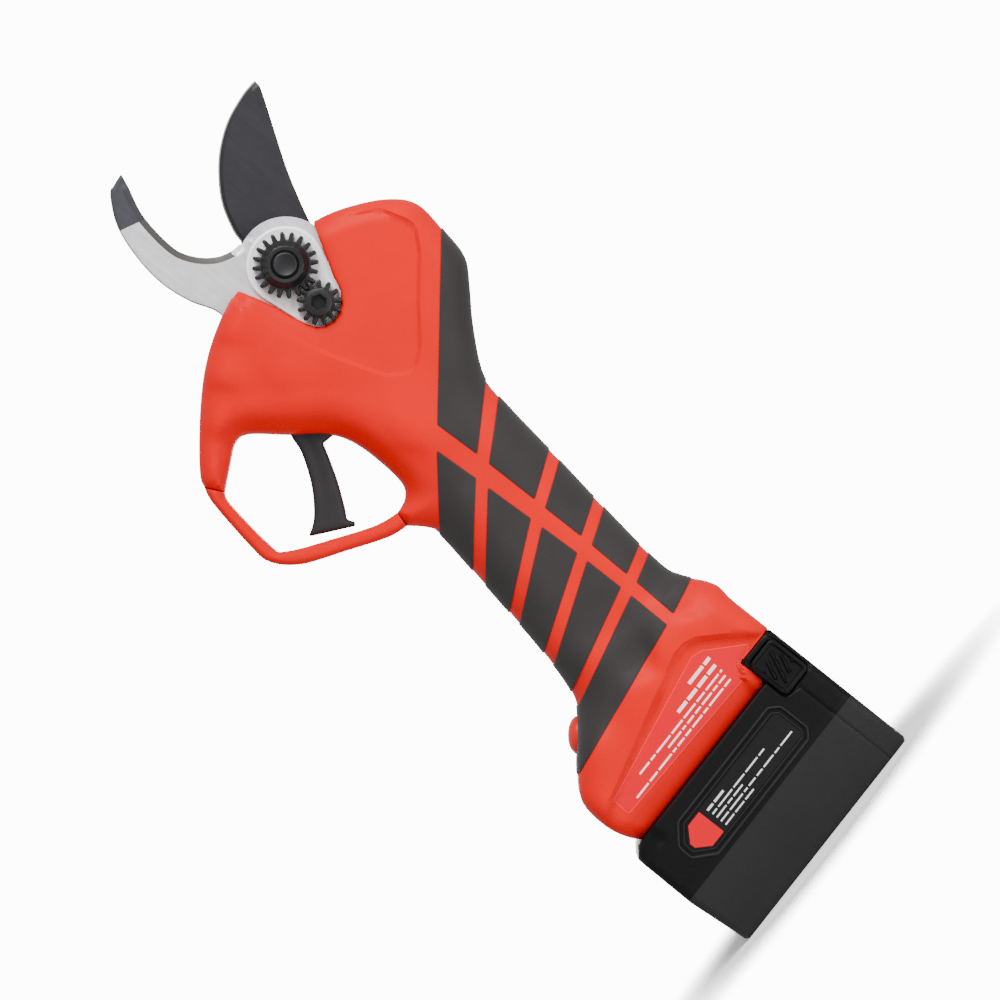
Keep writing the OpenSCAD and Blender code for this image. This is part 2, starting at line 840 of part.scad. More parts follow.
module ring_gear() {
  color(dark_steel) on_drive(block_end) difference() {
    cylinder(r = gearbox_r, h = gearbox_end - block_end);
    translate([0, 0, -1]) rotate(180 / ring_teeth) linear_extrude(40)
      polygon(gear_points(planet_module, ring_teeth, planet_module * (ring_teeth / 2 + 1.1),
        planet_module * (ring_teeth / 2 - 0.85), -0.12));
  }
}

module gearbox_end_plate() {
  color(alloy) on_drive(gearbox_end) difference() {
    cylinder(r = gearbox_r, h = motor_top - gearbox_end);
    translate([0, 0, -1]) cylinder(r = 4, h = 6);
    for (i = [0 : 3]) rotate(45 + 90 * i) translate([9.5, 0, -1]) cylinder(r = 1.1, h = 6);
  }
}

module motor_can() {
  color([0.55, 0.56, 0.58]) on_drive(motor_top) difference() {
    cylinder(r = motor_r, h = 40);
    translate([0, 0, 2]) cylinder(r = motor_r - 1.2, h = 40);
    translate([0, 0, -1]) cylinder(r = 3, h = 6);
  }
}

module motor_stator() {
  color(copper) on_drive(motor_top + 5) difference() {
    cylinder(r = motor_r - 1.25, h = 32);
    translate([0, 0, -1]) cylinder(r = 8.4, h = 40);
    for (i = [0 : 5]) rotate(60 * i) translate([8, -1, -1]) cube([4, 2, 40]);
  }
}

module motor_rotor() {
  color(steel) on_drive() union() {
    translate([0, 0, input_gears + 0.5]) cylinder(r = 1.48, h = motor_end - input_gears - 1.5);
    translate([0, 0, motor_top + 7]) cylinder(r = 7.8, h = 28);
  }
}

module motor_end_cap() {
  color(black) on_drive(motor_top + 40) difference() {
    cylinder(r = motor_r, h = motor_end - motor_top - 40);
    translate([0, 0, -1]) cylinder(r = 1.55, h = 10);
    for (i = [-1 : 1]) translate([5 * i, -9, -1]) cylinder(r = 1.15, h = 10);
  }
}

module motor_leads() {
  color([0.85, 0.7, 0.1]) for (i = [-1 : 1])
    on_drive(motor_end - 2) translate([5 * i, -9, 0]) cylinder(r = 1.1, h = 9);
}

// -------------------------------------------------------------------------
// Electronics
// -------------------------------------------------------------------------

module control_board() {
  color(board_green) on_drive(board_top) translate([-12, -0.8, 0])
    difference() {
      cube([24, 1.6, board_end - board_top]);
      for (p = [[3, 4], [21, 4], [3, 46], [21, 46]])
        translate([p[0], -1, p[1]]) rotate([-90, 0, 0]) cylinder(r = 1.2, h = 4);
    }
}

module board_parts() {
  color(black) on_drive(board_top) {
    for (row = [0 : 1]) for (i = [0 : 2])
      translate([-9 + 7 * i, -2.6, 10 + 9 * row]) cube([5, 1.8, 6]);
    for (i = [0 : 1]) translate([-5 + 10 * i, 5.4, 32]) cylinder(r = 4.6, h = 12);
    translate([-9, 0.8, 8]) cube([18, 3, 14]);
    translate([-4, -2.4, 30]) cube([8, 1.6, 8]);
    for (i = [-1 : 1]) translate([5 * i - 1.6, -10.2, 2]) cube([3.2, 9.4, 3]);
    for (i = [0 : 1]) translate([-7.2 + 10 * i, -4.4, 44]) cube([4.4, 3.6, 4]);
  }
}

module battery_leads() {
  color([0.75, 0.1, 0.1]) for (i = [0 : 1])
    on_drive(board_top + 48) translate([-5 + 10 * i, -3.2, 0])
      cylinder(r = 1.3, h = 22.1 + 1.7 * i);
}

contact_y = [-7.5, -2.5, 2.5, 7.5];

module terminal_block() {
  color(black) difference() {
    translate([-6, -12, 50.4]) cube([22, 24, 8]);
    translate([-5, -10, 55]) cube([20, 12, 4]);
  }
  color(copper) for (y = contact_y) translate([4, y - 0.4, 47]) cube([8, 0.8, 3.4]);
}

module trigger_sensor() {
  color(board_green) slab(5.6, 6.6) polygon([[7.8, 190], [11.4, 190], [11.4, 199], [6, 199], [6, 194]]);
}

module power_button() {
  color([0.95, 0.25, 0.2]) on_button() union() {
    rotate_extrude()
      polygon([[0, -3.2], [6, -3.2], [6, 1.2], [5.2, 2.2], [4, 2.9], [2.4, 3.3], [0, 3.4]]);
    translate([0, 0, -5]) cylinder(r = 2, h = 3);
    translate([0, 0, -4.2]) cylinder(r = 7.4, h = 1);
  }
}

module power_switch() {
  color(black) on_button() union() {
    translate([-3, -3, -9.1]) cube([6, 6, 3]);
    translate([-7, -6, -10.3]) cube([14, 12, 1.2]);
  }
}

// -------------------------------------------------------------------------
// Trigger
// -------------------------------------------------------------------------

trigger_front = curve([[1, 206.2], [-2.6, 203.8], [-5, 200], [-7, 194.5], [-13, 186], [-20, 179.7],
  [-25, 177.6]]);
trigger_back = curve([[-14.6, 168.7], [-13.6, 170.2], [-11, 175], [-5, 184], [-0.6, 191.4]]);

module trigger_2d() {
  polygon(concat(trigger_front, [[-24.8, 176.9], [-20, 173]], trigger_back,
    [[3, 190.6], [8.6, 190.2], [10.6, 196], [11.4, 202], [10.6, 205], [7, 206.4]]));
}

module trigger() {
  color(rubber) difference() {
    union() {
      slab(-trigger_half, trigger_half) offset(delta = -0.7) trigger_2d();
      slab(-trigger_half + 1, trigger_half - 1) trigger_2d();
    }
    post(trigger_at, 1.55, -10, 10);
    post([8.4, 193], 1.52, 1.5, 10);
  }
}

module trigger_magnet() { color(steel) post([8.4, 193], 1.5, 1.6, 4.4); }
module trigger_pin() { color(steel) post(trigger_at, 1.5, -11, 11); }

module trigger_spring() {
  color(steel) union() {
    for (i = [0 : 3]) translate([trigger_at[0], -5.5 - 0.9 * i, trigger_at[1]]) rotate([90, 0, 0])
      rotate_extrude() translate([3.2, 0]) circle(r = 0.46, $fn = 16);
    translate([trigger_at[0] + 3.2, -5.5, trigger_at[1] - 7]) cylinder(r = 0.45, h = 7);
    translate([trigger_at[0] - 3.2, -8.2, trigger_at[1] - 1]) cylinder(r = 0.45, h = 7);
  }
}

// -------------------------------------------------------------------------
// Battery
// -------------------------------------------------------------------------

module pack_2d() {
  polygon([[-38, 0], [-39.4, 1.4], [-40.3, 20], [-40, 40.2], [-36.6, pack_top], [25.4, pack_top],
    [25.4, tower_top], [37.2, tower_top], [38.3, 51.2], [38, 1.6], [36.5, 0]]);
}

// Side view of the pack: it narrows below the bend
module pack_side(skin = 0) {
  translate([-50, 0, 0]) rotate([90, 0, 90]) linear_extrude(100)
    polygon([for (p = [[-pack_half + 2.4, 0], [pack_half - 2.4, 0], [pack_half - 1.6, 1],
      [pack_half, pack_bend], [pack_half - 0.6, 60], [-pack_half + 0.6, 60],
      [-pack_half, pack_bend], [-pack_half + 1.6, 1]])
      [p[0] - sign(p[0]) * skin, max(p[1], skin)]]);
}

module pack_solid(skin = 0) {
  intersection() {
    slab(-30, 30) offset(delta = -skin) pack_2d();
    pack_side(skin);
  }
}

module cap_zone() {
  translate([seam_x, -30, -1]) cube([20, 60, 37]);
  translate([25.5, -30, 36]) cube([25, 60, 30]);
}

latch_at = [31.1, 43.2];

module latch_window(y) {
  translate([latch_at[0], y, latch_at[1]]) cube([10.9, 12, 14.4], center = true);
}

cap_screw_at = [[-19.3, 4.2], [19.3, 4.2], [-19.8, 30], [19.8, 30]];

module battery_case() {
  color(black) difference() {
    union() {
      difference() {
        pack_solid();
        pack_solid(2);
        cap_zone();
      }
      translate([-29, -11, pack_top - 2]) cube([53, 22, 5.2]);
      translate([-29, -14, pack_top + 3]) cube([53, 28, 3.4]);
      for (p = cap_screw_at) translate([24.5, p[0], p[1]]) rotate([0, 90, 0])
        cylinder(r = 2.6, h = seam_x - 24.5);
    }
    for (y = contact_y) translate([-30, y - 0.9, 46.6]) cube([43, 1.8, 4]);
    translate([-24, -9, 39]) cube([42, 18, 7.7]);
    cap_zone();
    for (p = cap_screw_at) translate([25.5, p[0], p[1]]) rotate([0, 90, 0])
      cylinder(r = 1.25, h = 30);
    slab(-30, -pack_half + 0.9) battery_label_2d(0.2);
  }
}

module battery_back_cap() {
  color(black) difference() {
    union() {
      intersection() {
        difference() {
          pack_solid();
          pack_solid(2);
        }
        cap_zone();
      }
      for (p = cap_screw_at) translate([seam_x, p[0], p[1]]) rotate([0, 90, 0]) {
        cylinder(r = 2.6, h = 6.5);
        translate([0, 0, 3]) cylinder(r = 3.2, h = 3.5);
      }
    }
    latch_window(-pack_half);
    latch_window(pack_half);
    for (p = cap_screw_at) translate([30, p[0], p[1]]) rotate([0, 90, 0]) {
      cylinder(r = 1.5, h = 30);
      translate([0, 0, 6.3]) cylinder(r = 2.5, h = 30);
    }
  }
}

module battery_screws() {
  color(steel) for (p = cap_screw_at) translate([0, p[0], p[1]]) rotate([0, 90, 0]) {
    translate([0, 0, 26]) cylinder(r = 1.22, h = 11);
    translate([0, 0, 36.35]) cylinder(r = 2.4, h = 1.3);
  }
}

module battery_label_2d(gap = 0) {
  offset(delta = gap) polygon([[-27.2, 31.6], [-23, 35.6], [19.2, 35.6], [20, 34.6], [20, 26],
    [19, 25.2], [-23, 25.2], [-27.2, 29.2]]);
}

module battery_label() {
  color(black) slab(-pack_half + 0.45, -pack_half + 0.88) battery_label_2d();
}

cell_at = [[-9.4, 11.4], [9.4, 11.4], [0, 27.8]];

module battery_cells() {
  color([0.2, 0.45, 0.7]) for (p = cell_at) translate([-34, p[0], p[1]]) rotate([0, 90, 0]) {
    cylinder(r = cell_r, h = cell_len);
    translate([0, 0, cell_len]) cylinder(r = 3, h = 0.8);
  }
}

module cell_holders() {
  color([0.85, 0.85, 0.8]) for (x = [-30, 20]) difference() {
    translate([x, -20, 2.1]) cube([4, 40, 35]);
    for (p = cell_at) translate([x - 1, p[0], p[1]]) rotate([0, 90, 0])
      cylinder(r = cell_r + 0.05, h = 6);
  }
}

module battery_board() {
  color(board_green) translate([-22, -8.9, 39.4]) cube([38, 17.8, 1.4]);
  color(copper) for (y = contact_y) for (side = [-1, 1])
    translate([2, y + 0.65 * side - 0.2, 40.8]) cube([9, 0.4, 8.2]);
}

module latch() {
  color(black) union() {
    translate([latch_at[0], -0.35, latch_at[1]]) cube([10.5, 3.7, 14], center = true);
    for (i = [-2 : 2]) translate([latch_at[0] + 1.9 * i, 1.7, latch_at[1] - 0.6 * i])
      rotate([0, 35, 0]) cube([0.8, 0.8, 8 - 1.6 * abs(i)], center = true);
    translate([27.6, -2.8, latch_at[1] - 8.7]) cube([8.6, 1.2, 15.4]);
  }
}

module left_latch() { translate([0, -pack_half + 1.4, 0]) mirror([0, 1, 0]) latch(); }
module right_latch() { translate([0, pack_half - 1.4, 0]) latch(); }

left_shell();
right_shell();
left_grip();
right_grip();
trigger_guard();
shell_screws();
rating_label();
hook_blade();
hook_screws();
cutting_blade();
sector_gear();
sector_pins();
pivot_bolt();
pivot_bush();
tension_nut();
lock_pinion();
lock_screw();
left_side_plate();
right_side_plate();
gear_case();
case_cover();
case_screws();
pinion_bearing();
bevel_pinion();
output_carrier();
output_planet_1();
output_planet_2();
output_planet_3();
middle_carrier();
input_planet_1();
input_planet_2();
input_planet_3();
input_sun();
ring_gear();
gearbox_end_plate();
motor_can();
motor_stator();
motor_rotor();
motor_end_cap();
motor_leads();
control_board();
board_parts();
battery_leads();
terminal_block();
trigger();
trigger_pin();
trigger_spring();
trigger_magnet();
trigger_sensor();
power_button();
power_switch();
battery_case();
battery_back_cap();
battery_screws();
battery_label();
battery_cells();
cell_holders();
battery_board();
left_latch();
right_latch();
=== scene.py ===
import math

import bmesh
import bpy
import numpy as np
from mathutils import Matrix, Vector
from mathutils.geometry import delaunay_2d_cdt


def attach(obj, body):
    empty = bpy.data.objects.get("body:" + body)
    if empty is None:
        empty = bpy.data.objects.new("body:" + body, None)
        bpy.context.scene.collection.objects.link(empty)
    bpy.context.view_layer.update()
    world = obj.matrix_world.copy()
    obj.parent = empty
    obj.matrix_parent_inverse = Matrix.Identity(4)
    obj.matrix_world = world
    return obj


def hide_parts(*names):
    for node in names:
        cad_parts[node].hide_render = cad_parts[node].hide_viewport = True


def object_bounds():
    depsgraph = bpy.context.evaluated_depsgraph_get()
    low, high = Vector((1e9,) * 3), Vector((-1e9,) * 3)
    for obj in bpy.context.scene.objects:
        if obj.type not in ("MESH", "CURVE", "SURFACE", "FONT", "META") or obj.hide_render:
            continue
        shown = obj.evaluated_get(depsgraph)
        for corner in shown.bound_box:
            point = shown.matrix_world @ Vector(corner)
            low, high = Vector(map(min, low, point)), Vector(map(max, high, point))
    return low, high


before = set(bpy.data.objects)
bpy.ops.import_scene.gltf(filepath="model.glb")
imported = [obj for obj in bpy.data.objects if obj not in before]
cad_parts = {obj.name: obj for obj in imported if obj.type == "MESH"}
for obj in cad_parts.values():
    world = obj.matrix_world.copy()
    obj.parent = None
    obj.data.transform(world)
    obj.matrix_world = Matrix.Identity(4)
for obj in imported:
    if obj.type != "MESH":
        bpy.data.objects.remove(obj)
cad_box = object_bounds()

# The profile is drawn in millimetres in the XZ plane. The near side is -Y, where the gears are.
# DRIVE points from the blades' pivot down to the lock screw, and on along the drive's axis.
MM = 0.001
PIVOT = np.array([34.4, 232.8])
TILT = math.radians(9.7)
DRIVE = np.array([-math.sin(TILT), -math.cos(TILT)])
GEAR_SPACING = 15.015
LOCK = PIVOT + GEAR_SPACING * DRIVE
BUTTON = np.array([-22.0, 76.5])
BUTTON_LEAN = math.radians(38.3)


# ---------------------------------------------------------------- curves
def curve(points, n=6):
    """A smooth open curve through the points."""
    p = np.array(points, float)
    out = []
    for i in range(len(p) - 1):
        a, b, c, d = p[max(i - 1, 0)], p[i], p[i + 1], p[min(i + 2, len(p) - 1)]
        for k in range(n):
            t = k / n
            out.append(0.5 * (2 * b + (c - a) * t + (2 * a - 5 * b + 4 * c - d) * t * t
                              + (3 * b - a - 3 * c + d) * t ** 3))
    return np.array(out + [p[-1]])


def arc(centre, r, a, b, n=24):
    t = np.radians(np.linspace(a, b, n + 1))
    return np.array(centre) + r * np.stack([np.cos(t), np.sin(t)], 1)


def circle(centre, r, n=48):
    return arc(centre, r, 0, 360 - 360 / n, n - 1)


def joined(*parts):
    """One outline from several runs of points, with repeated points dropped."""
    p = np.vstack([np.array(q, float).reshape(-1, 2) for q in parts])
    keep = np.linalg.norm(p - np.roll(p, 1, 0), axis=1) > 0.02
    return p[keep]


def spaced(outline, step, closed=True):
    """The outline with extra points, so that no side is longer than step."""
    out = []
    p = np.array(outline, float)
    last = len(p) if closed else len(p) - 1
    for i in range(last):
        a, b = p[i], p[(i + 1) % len(p)]
        n = max(1, int(math.ceil(np.linalg.norm(b - a) / step)))
        out += [a + (b - a) * k / n for k in range(n)]
    if not closed:
        out.append(p[-1])
    return np.array(out)


def softened(corners, r, n=5):
    """A closed polygon with its corners rounded to radius r or as far as they have room."""
    p = np.array(corners, float)
    out = []
    for i in range(len(p)):
        a, b, c = p[i - 1], p[i], p[(i + 1) % len(p)]
        u, v = a - b, c - b
        lu, lv = np.linalg.norm(u), np.linalg.norm(v)
        u, v = u / lu, v / lv
        half = math.acos(np.clip(u @ v, -1, 1)) / 2
        back = min(r / math.tan(half), 0.45 * lu, 0.45 * lv)
        for k in range(n + 1):
            t = k / n
            out.append((1 - t) ** 2 * (b + u * back) + 2 * t * (1 - t) * b + t * t * (b + v * back))
    return np.array(out)


# ---------------------------------------------------------------- measures in the plane
def far(P, line, closed=False):
    """Distance of each point in P from a run of line segments."""
    P = np.asarray(P, float)
    L = np.asarray(line, float)
    best = np.full(len(P), 1e9)
    for i in range(len(L) if closed else len(L) - 1):
        a, b = L[i], L[(i + 1) % len(L)]
        ab = b - a
        t = np.clip(((P - a) @ ab) / max(ab @ ab, 1e-12), 0, 1)
        best = np.minimum(best, np.hypot(*(P - a - t[:, None] * ab).T))
    return best


def within(P, outline):
    """Whether each point in P is inside the closed outline."""
    P = np.asarray(P, float)
    L = np.asarray(outline, float)
    hit = np.zeros(len(P), bool)
    x, z = P.T
    for i in range(len(L)):
        (x0, z0), (x1, z1) = L[i], L[(i + 1) % len(L)]
        if z0 == z1:
            continue
        crosses = (z0 > z) != (z1 > z)
        hit ^= crosses & (x < (x1 - x0) * (z - z0) / (z1 - z0) + x0)
    return hit


def depth(P, outline):
    """Distance inside a closed outline, negative outside."""
    return np.where(within(P, outline), 1, -1) * far(P, outline, True)


def inside(P, bounds, holes):
    """Whether each point is inside every one of bounds and outside every one of holes."""
    hit = np.ones(len(P), bool)
    for loop in bounds:
        hit &= within(P, loop)
    for loop in holes:
        hit &= ~within(P, loop)
    return hit


def smooth(t):
    t = np.clip(t, 0, 1)
    return t * t * (3 - 2 * t)


def rolled(d, r):
    """Height of a round edge of radius r, at distance d in from the edge."""
    return np.sqrt(np.maximum(0, r * r - np.maximum(0, r - np.clip(d, 0, None)) ** 2))


def grown(outline, by):
    """A closed outline moved outwards by a small distance."""
    ahead = np.roll(outline, -1, 0) - np.roll(outline, 1, 0)
    side = np.stack([ahead[:, 1], -ahead[:, 0]], 1)
    side /= np.maximum(np.linalg.norm(side, axis=1, keepdims=True), 1e-9)
    area = np.sum(outline[:, 0] * np.roll(outline[:, 1], -1) - np.roll(outline[:, 0], -1) * outline[:, 1])
    return outline + side * by * np.sign(area)


# ---------------------------------------------------------------- meshes
def make(name, verts, faces, mats, index=None, sharp=35):
    """A mesh object from points in millimetres."""
    mesh = bpy.data.meshes.new(name)
    mesh.from_pydata([tuple(v) for v in np.asarray(verts) * MM], [], [tuple(f) for f in faces])
    obj = bpy.data.objects.new(name, mesh)
    bpy.context.scene.collection.objects.link(obj)
    for m in mats:
        mesh.materials.append(m)
    if index is not None:
        mesh.polygons.foreach_set("material_index", np.asarray(index, np.int32))
    bm = bmesh.new()
    bm.from_mesh(mesh)
    bmesh.ops.remove_doubles(bm, verts=bm.verts, dist=1e-6)
    bmesh.ops.dissolve_degenerate(bm, edges=bm.edges, dist=1e-7)
    bmesh.ops.recalc_face_normals(bm, faces=bm.faces)
    bm.to_mesh(mesh)
    bm.free()
    mesh.shade_smooth()
    mesh.set_sharp_from_angle(angle=math.radians(sharp))
    return obj


def relief(name, outline, front, back, mats, cell=1.2, holes=(), lines=(), rims=(), paint=None,
           sharp=35, clip=None):
    """A plate in the XZ plane with a modelled face on each side.

    front and back give y for each point of the plane. rims are distances in from the outline at
    which extra rows of points follow it, and lines are creases that the faces' edges follow.
    paint gives each face's material number from its middle. Where clip is given, the plate covers
    only what is inside that outline too.
    """
    bounds = [spaced(outline, cell)] + ([] if clip is None else [spaced(clip, cell)])
    holes = [spaced(h, min(cell, 0.8)) for h in holes]
    loops = bounds + holes
    creases = [spaced(line, cell, False) for line in lines]
    pts = [p for loop in loops for p in loop]
    edges, start = [], 0
    for loop in loops:
        n = len(loop)
        edges += [(start + i, start + (i + 1) % n) for i in range(n)]
        start += n
    for line in creases:
        pts += list(line)
        edges += [(start + i, start + i + 1) for i in range(len(line) - 1)]
        start += len(line)
    for off in rims:
        for loop in loops:
            ahead = np.roll(loop, -1, 0) - np.roll(loop, 1, 0)
            side = np.stack([-ahead[:, 1], ahead[:, 0]], 1)
            side /= np.maximum(np.linalg.norm(side, axis=1, keepdims=True), 1e-9)
            for s in (1, -1):
                q = loop + s * off * side
                good = inside(q, bounds, holes)
                d = np.min([far(q, one, True) for one in loops], 0)
                good &= d > off * 0.97
                if creases:
                    good &= np.min([far(q, c) for c in creases], 0) > 0.25 * cell
                pts += list(q[good])
    lo, hi = loops[0].min(0), loops[0].max(0)
    rows = np.arange(lo[1], hi[1], cell * 0.87)
    grid = []
    for k, z in enumerate(rows):
        xs = np.arange(lo[0] + (k % 2) * cell / 2, hi[0], cell)
        grid.append(np.stack([xs, np.full(len(xs), z)], 1))
    grid = np.vstack(grid)
    room = (max(rims) if len(rims) else 0) + 0.55 * cell
    grid = grid[inside(grid, bounds, holes)]
    for loop in loops:
        grid = grid[far(grid, loop, True) > room]
    for c in creases:
        grid = grid[far(grid, c) > 0.5 * cell]
    pts += list(grid)
    v, _, f, _, _, _ = delaunay_2d_cdt([Vector(p) for p in pts], edges, [], 0, 1e-5)
    V = np.array([tuple(p) for p in v])
    F = np.array([t for t in f if len(t) == 3], int)
    mid = V[F].mean(1)
    keep = inside(mid, bounds, holes)
    F, mid = F[keep], mid[keep]
    used = np.unique(F)
    remap = -np.ones(len(V), int)
    remap[used] = np.arange(len(used))
    V, F = V[used], remap[F]
    yf = np.broadcast_to(front(V), (len(V),))
    yb = np.broadcast_to(back(V), (len(V),))
    n = len(V)
    verts = np.vstack([np.stack([V[:, 0], yf, V[:, 1]], 1), np.stack([V[:, 0], yb, V[:, 1]], 1)])
    faces = [tuple(t) for t in F] + [tuple(t[::-1] + n) for t in F]
    count = {}
    for t in F:
        for i in range(3):
            a, b = int(t[i]), int(t[(i + 1) % 3])
            count[(a, b)] = count.get((a, b), 0) + 1
    walls = [(a, b) for (a, b) in count if (b, a) not in count]
    faces += [(b, a, a + n, b + n) for a, b in walls]
    index = None
    if paint is not None:
        wall_mid = np.array([(V[a] + V[b]) / 2 for a, b in walls])
        index = list(paint(mid)) * 2 + list(paint(wall_mid))
    return make(name, verts, faces, mats, index, sharp)


def lathe(name, profile, at, mats, n=64, sharp=35, turn=None):
    """A turned piece. profile is (radius, y) pairs; the axis is Y through at, in the plane."""
    ang = np.linspace(0, 2 * math.pi, n, endpoint=False)
    verts, faces = [], []
    for r, y in profile:
        for a in ang:
            verts.append((at[0] + r * math.cos(a), y, at[1] + r * math.sin(a)))
    for k in range(len(profile) - 1):
        for i in range(n):
            j = (i + 1) % n
            faces.append((k * n + i, k * n + j, (k + 1) * n + j, (k + 1) * n + i))
    if turn is not None:
        verts = [tuple(turn @ Vector(v)) for v in verts]
    return make(name, np.array(verts), faces, mats, None, sharp)


def both(obj_list, name):
    """One object from several."""
    bpy.ops.object.select_all(action="DESELECT")
    for o in obj_list:
        o.select_set(True)
    bpy.context.view_layer.objects.active = obj_list[0]
    bpy.ops.object.join()
    obj_list[0].name = name
    obj_list[0].data.name = name
    return obj_list[0]


def put(obj, body, slot, *nodes):
    """Files a piece: the body it rides on and the CAD nodes it stands for, which it hides. slot, its
    finish, is not used.
    """
    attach(obj, body)
    if nodes:
        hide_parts(*nodes)
    return obj


# ---------------------------------------------------------------- materials
class Nodes:
    """A short way to write a node material."""

    def __init__(self, name):
        self.mat = bpy.data.materials.new(name)
        self.mat.use_nodes = True
        self.tree = self.mat.node_tree
        self.bsdf = self.tree.nodes["Principled BSDF"]
        self.coords = self.add("ShaderNodeTexCoord").outputs["Object"]

    def add(self, kind, values=None, **props):
        node = self.tree.nodes.new(kind)
        for k, v in props.items():
            setattr(node, k, v)
        for k, v in (values or {}).items():
            if isinstance(v, bpy.types.NodeSocket):
                self.tree.links.new(v, node.inputs[k])
            else:
                node.inputs[k].default_value = v
        return node

    def give(self, key, value):
        if isinstance(value, bpy.types.NodeSocket):
            self.tree.links.new(value, self.bsdf.inputs[key])
        else:
            self.bsdf.inputs[key].default_value = value

    def noise(self, scale, detail=3, rough=0.55, stretch=None):
        """Noise between 0 and 1. scale counts features in a metre."""
        vec = self.coords
        if stretch is not None:
            vec = self.add("ShaderNodeMapping", {"Vector": vec, "Scale": stretch[0],
                                                 "Rotation": stretch[1]}).outputs[0]
        return self.add("ShaderNodeTexNoise", {"Vector": vec, "Scale": scale, "Detail": detail,
                                               "Roughness": rough}).outputs[0]

    def ramp(self, value, lo, hi, to_lo=0.0, to_hi=1.0):
        return self.add("ShaderNodeMapRange", {"Value": value, "From Min": lo, "From Max": hi,
                                               "To Min": to_lo, "To Max": to_hi}).outputs[0]

    def math(self, op, a, b=0.0):
        return self.add("ShaderNodeMath", {0: a, 1: b}, operation=op).outputs[0]

    def mix(self, factor, a, b):
        return self.add("ShaderNodeMix", {"Factor": factor, 6: a, 7: b},
                        data_type="RGBA").outputs[2]

    def bump(self, height, distance, strength=1.0, onto=None):
        values = {"Height": height, "Distance": distance, "Strength": strength}
        if onto is not None:
            values["Normal"] = onto
        return self.add("ShaderNodeBump", values).outputs[0]


def shade(colour, k):
    return tuple(min(1, c * k) for c in colour[:3]) + (1,)


def plastic(name, colour, rough=0.45, grain=2600, lift=0.000012, uneven=0.05, seam=False,
            specular=0.13, dust=0.04):
    """Moulded plastic: a fine spark-eroded grain, cloudy gloss and slight colour drift."""
    n = Nodes(name)
    cloud = n.noise(45, 4)
    base = n.mix(n.ramp(cloud, 0.3, 0.7), shade(colour, 1 - uneven), shade(colour, 1 + uneven))
    speck = n.ramp(n.noise(5200, 2), 0.62, 0.75)
    base = n.mix(n.math("MULTIPLY", speck, dust), base, shade(colour, 1.4))
    if seam:
        y = n.add("ShaderNodeSeparateXYZ", {"Vector": n.coords}).outputs[1]
        line = n.ramp(n.math("ABSOLUTE", y), 0.00012, 0.0003, 1.0, 0.0)
        base = n.mix(n.math("MULTIPLY", line, 0.55), base, shade(colour, 0.25))
    n.give("Base Color", base)
    n.give("Roughness", n.ramp(n.noise(160, 5), 0.25, 0.75, rough - 0.05, rough + 0.06))
    n.give("Specular IOR Level", specular)
    coarse = n.bump(n.noise(grain, 2, 0.6), lift, 0.8)
    n.give("Normal", n.bump(n.noise(70, 2), 0.00004, 0.35, coarse))
    return n.mat


def rubber(name, colour, rough=0.62):
    """Grip rubber: a matt skin with a pebbled grain and a soft sheen."""
    n = Nodes(name)
    pebble = n.add("ShaderNodeTexVoronoi", {"Vector": n.coords, "Scale": 1700.0}).outputs[0]
    cloud = n.noise(60, 4)
    base = n.mix(n.ramp(cloud, 0.3, 0.7), shade(colour, 0.88), shade(colour, 1.1))
    worn = n.ramp(n.noise(330, 5), 0.55, 0.8)
    base = n.mix(n.math("MULTIPLY", worn, 0.12), base, shade(colour, 1.6))
    n.give("Base Color", base)
    n.give("Roughness", n.ramp(n.noise(240, 4), 0.3, 0.7, rough - 0.05, rough + 0.08))
    n.give("Sheen Weight", 0.03)
    n.give("Sheen Roughness", 0.5)
    n.give("Specular IOR Level", 0.14)
    n.give("Normal", n.bump(pebble, 0.00003, 0.5, n.bump(n.noise(4200, 2), 0.00001, 0.5)))
    return n.mat


def metal(name, colour, rough=0.32, metallic=1.0, brushed=None, scratch=0.5, uneven=0.08,
          pits=0.0, specular=0.5):
    """Steel. brushed is the angle of the grinding lines in the XZ plane, in degrees."""
    n = Nodes(name)
    cloud = n.noise(110, 5)
    base = n.mix(n.ramp(cloud, 0.25, 0.75), shade(colour, 1 - uneven), shade(colour, 1 + uneven))
    rough_to = n.ramp(n.noise(300, 5), 0.25, 0.75, rough - 0.06, rough + 0.09)
    normal = n.bump(n.noise(3200, 3), 0.000006, 0.5)
    if brushed is not None:
        stretch = ((1.0, 1.0, 0.02), (0, math.radians(brushed), 0))
        lines = n.noise(4200, 4, 0.7, stretch)
        wide = n.noise(900, 3, 0.7, stretch)
        base = n.mix(n.ramp(wide, 0.3, 0.7), base, shade(colour, 1 - 1.6 * uneven))
        normal = n.bump(lines, 0.000014, scratch, normal)
        rough_to = n.math("ADD", rough_to, n.ramp(lines, 0.3, 0.7, -0.05, 0.07))
    if pits:
        spots = n.ramp(n.noise(2100, 4), 0.6, 0.72)
        base = n.mix(n.math("MULTIPLY", spots, pits), base, shade(colour, 2.2))
    n.give("Base Color", base)
    n.give("Metallic", metallic)
    n.give("Specular IOR Level", specular)
    n.give("Roughness", rough_to)
    n.give("Normal", normal)
    return n.mat


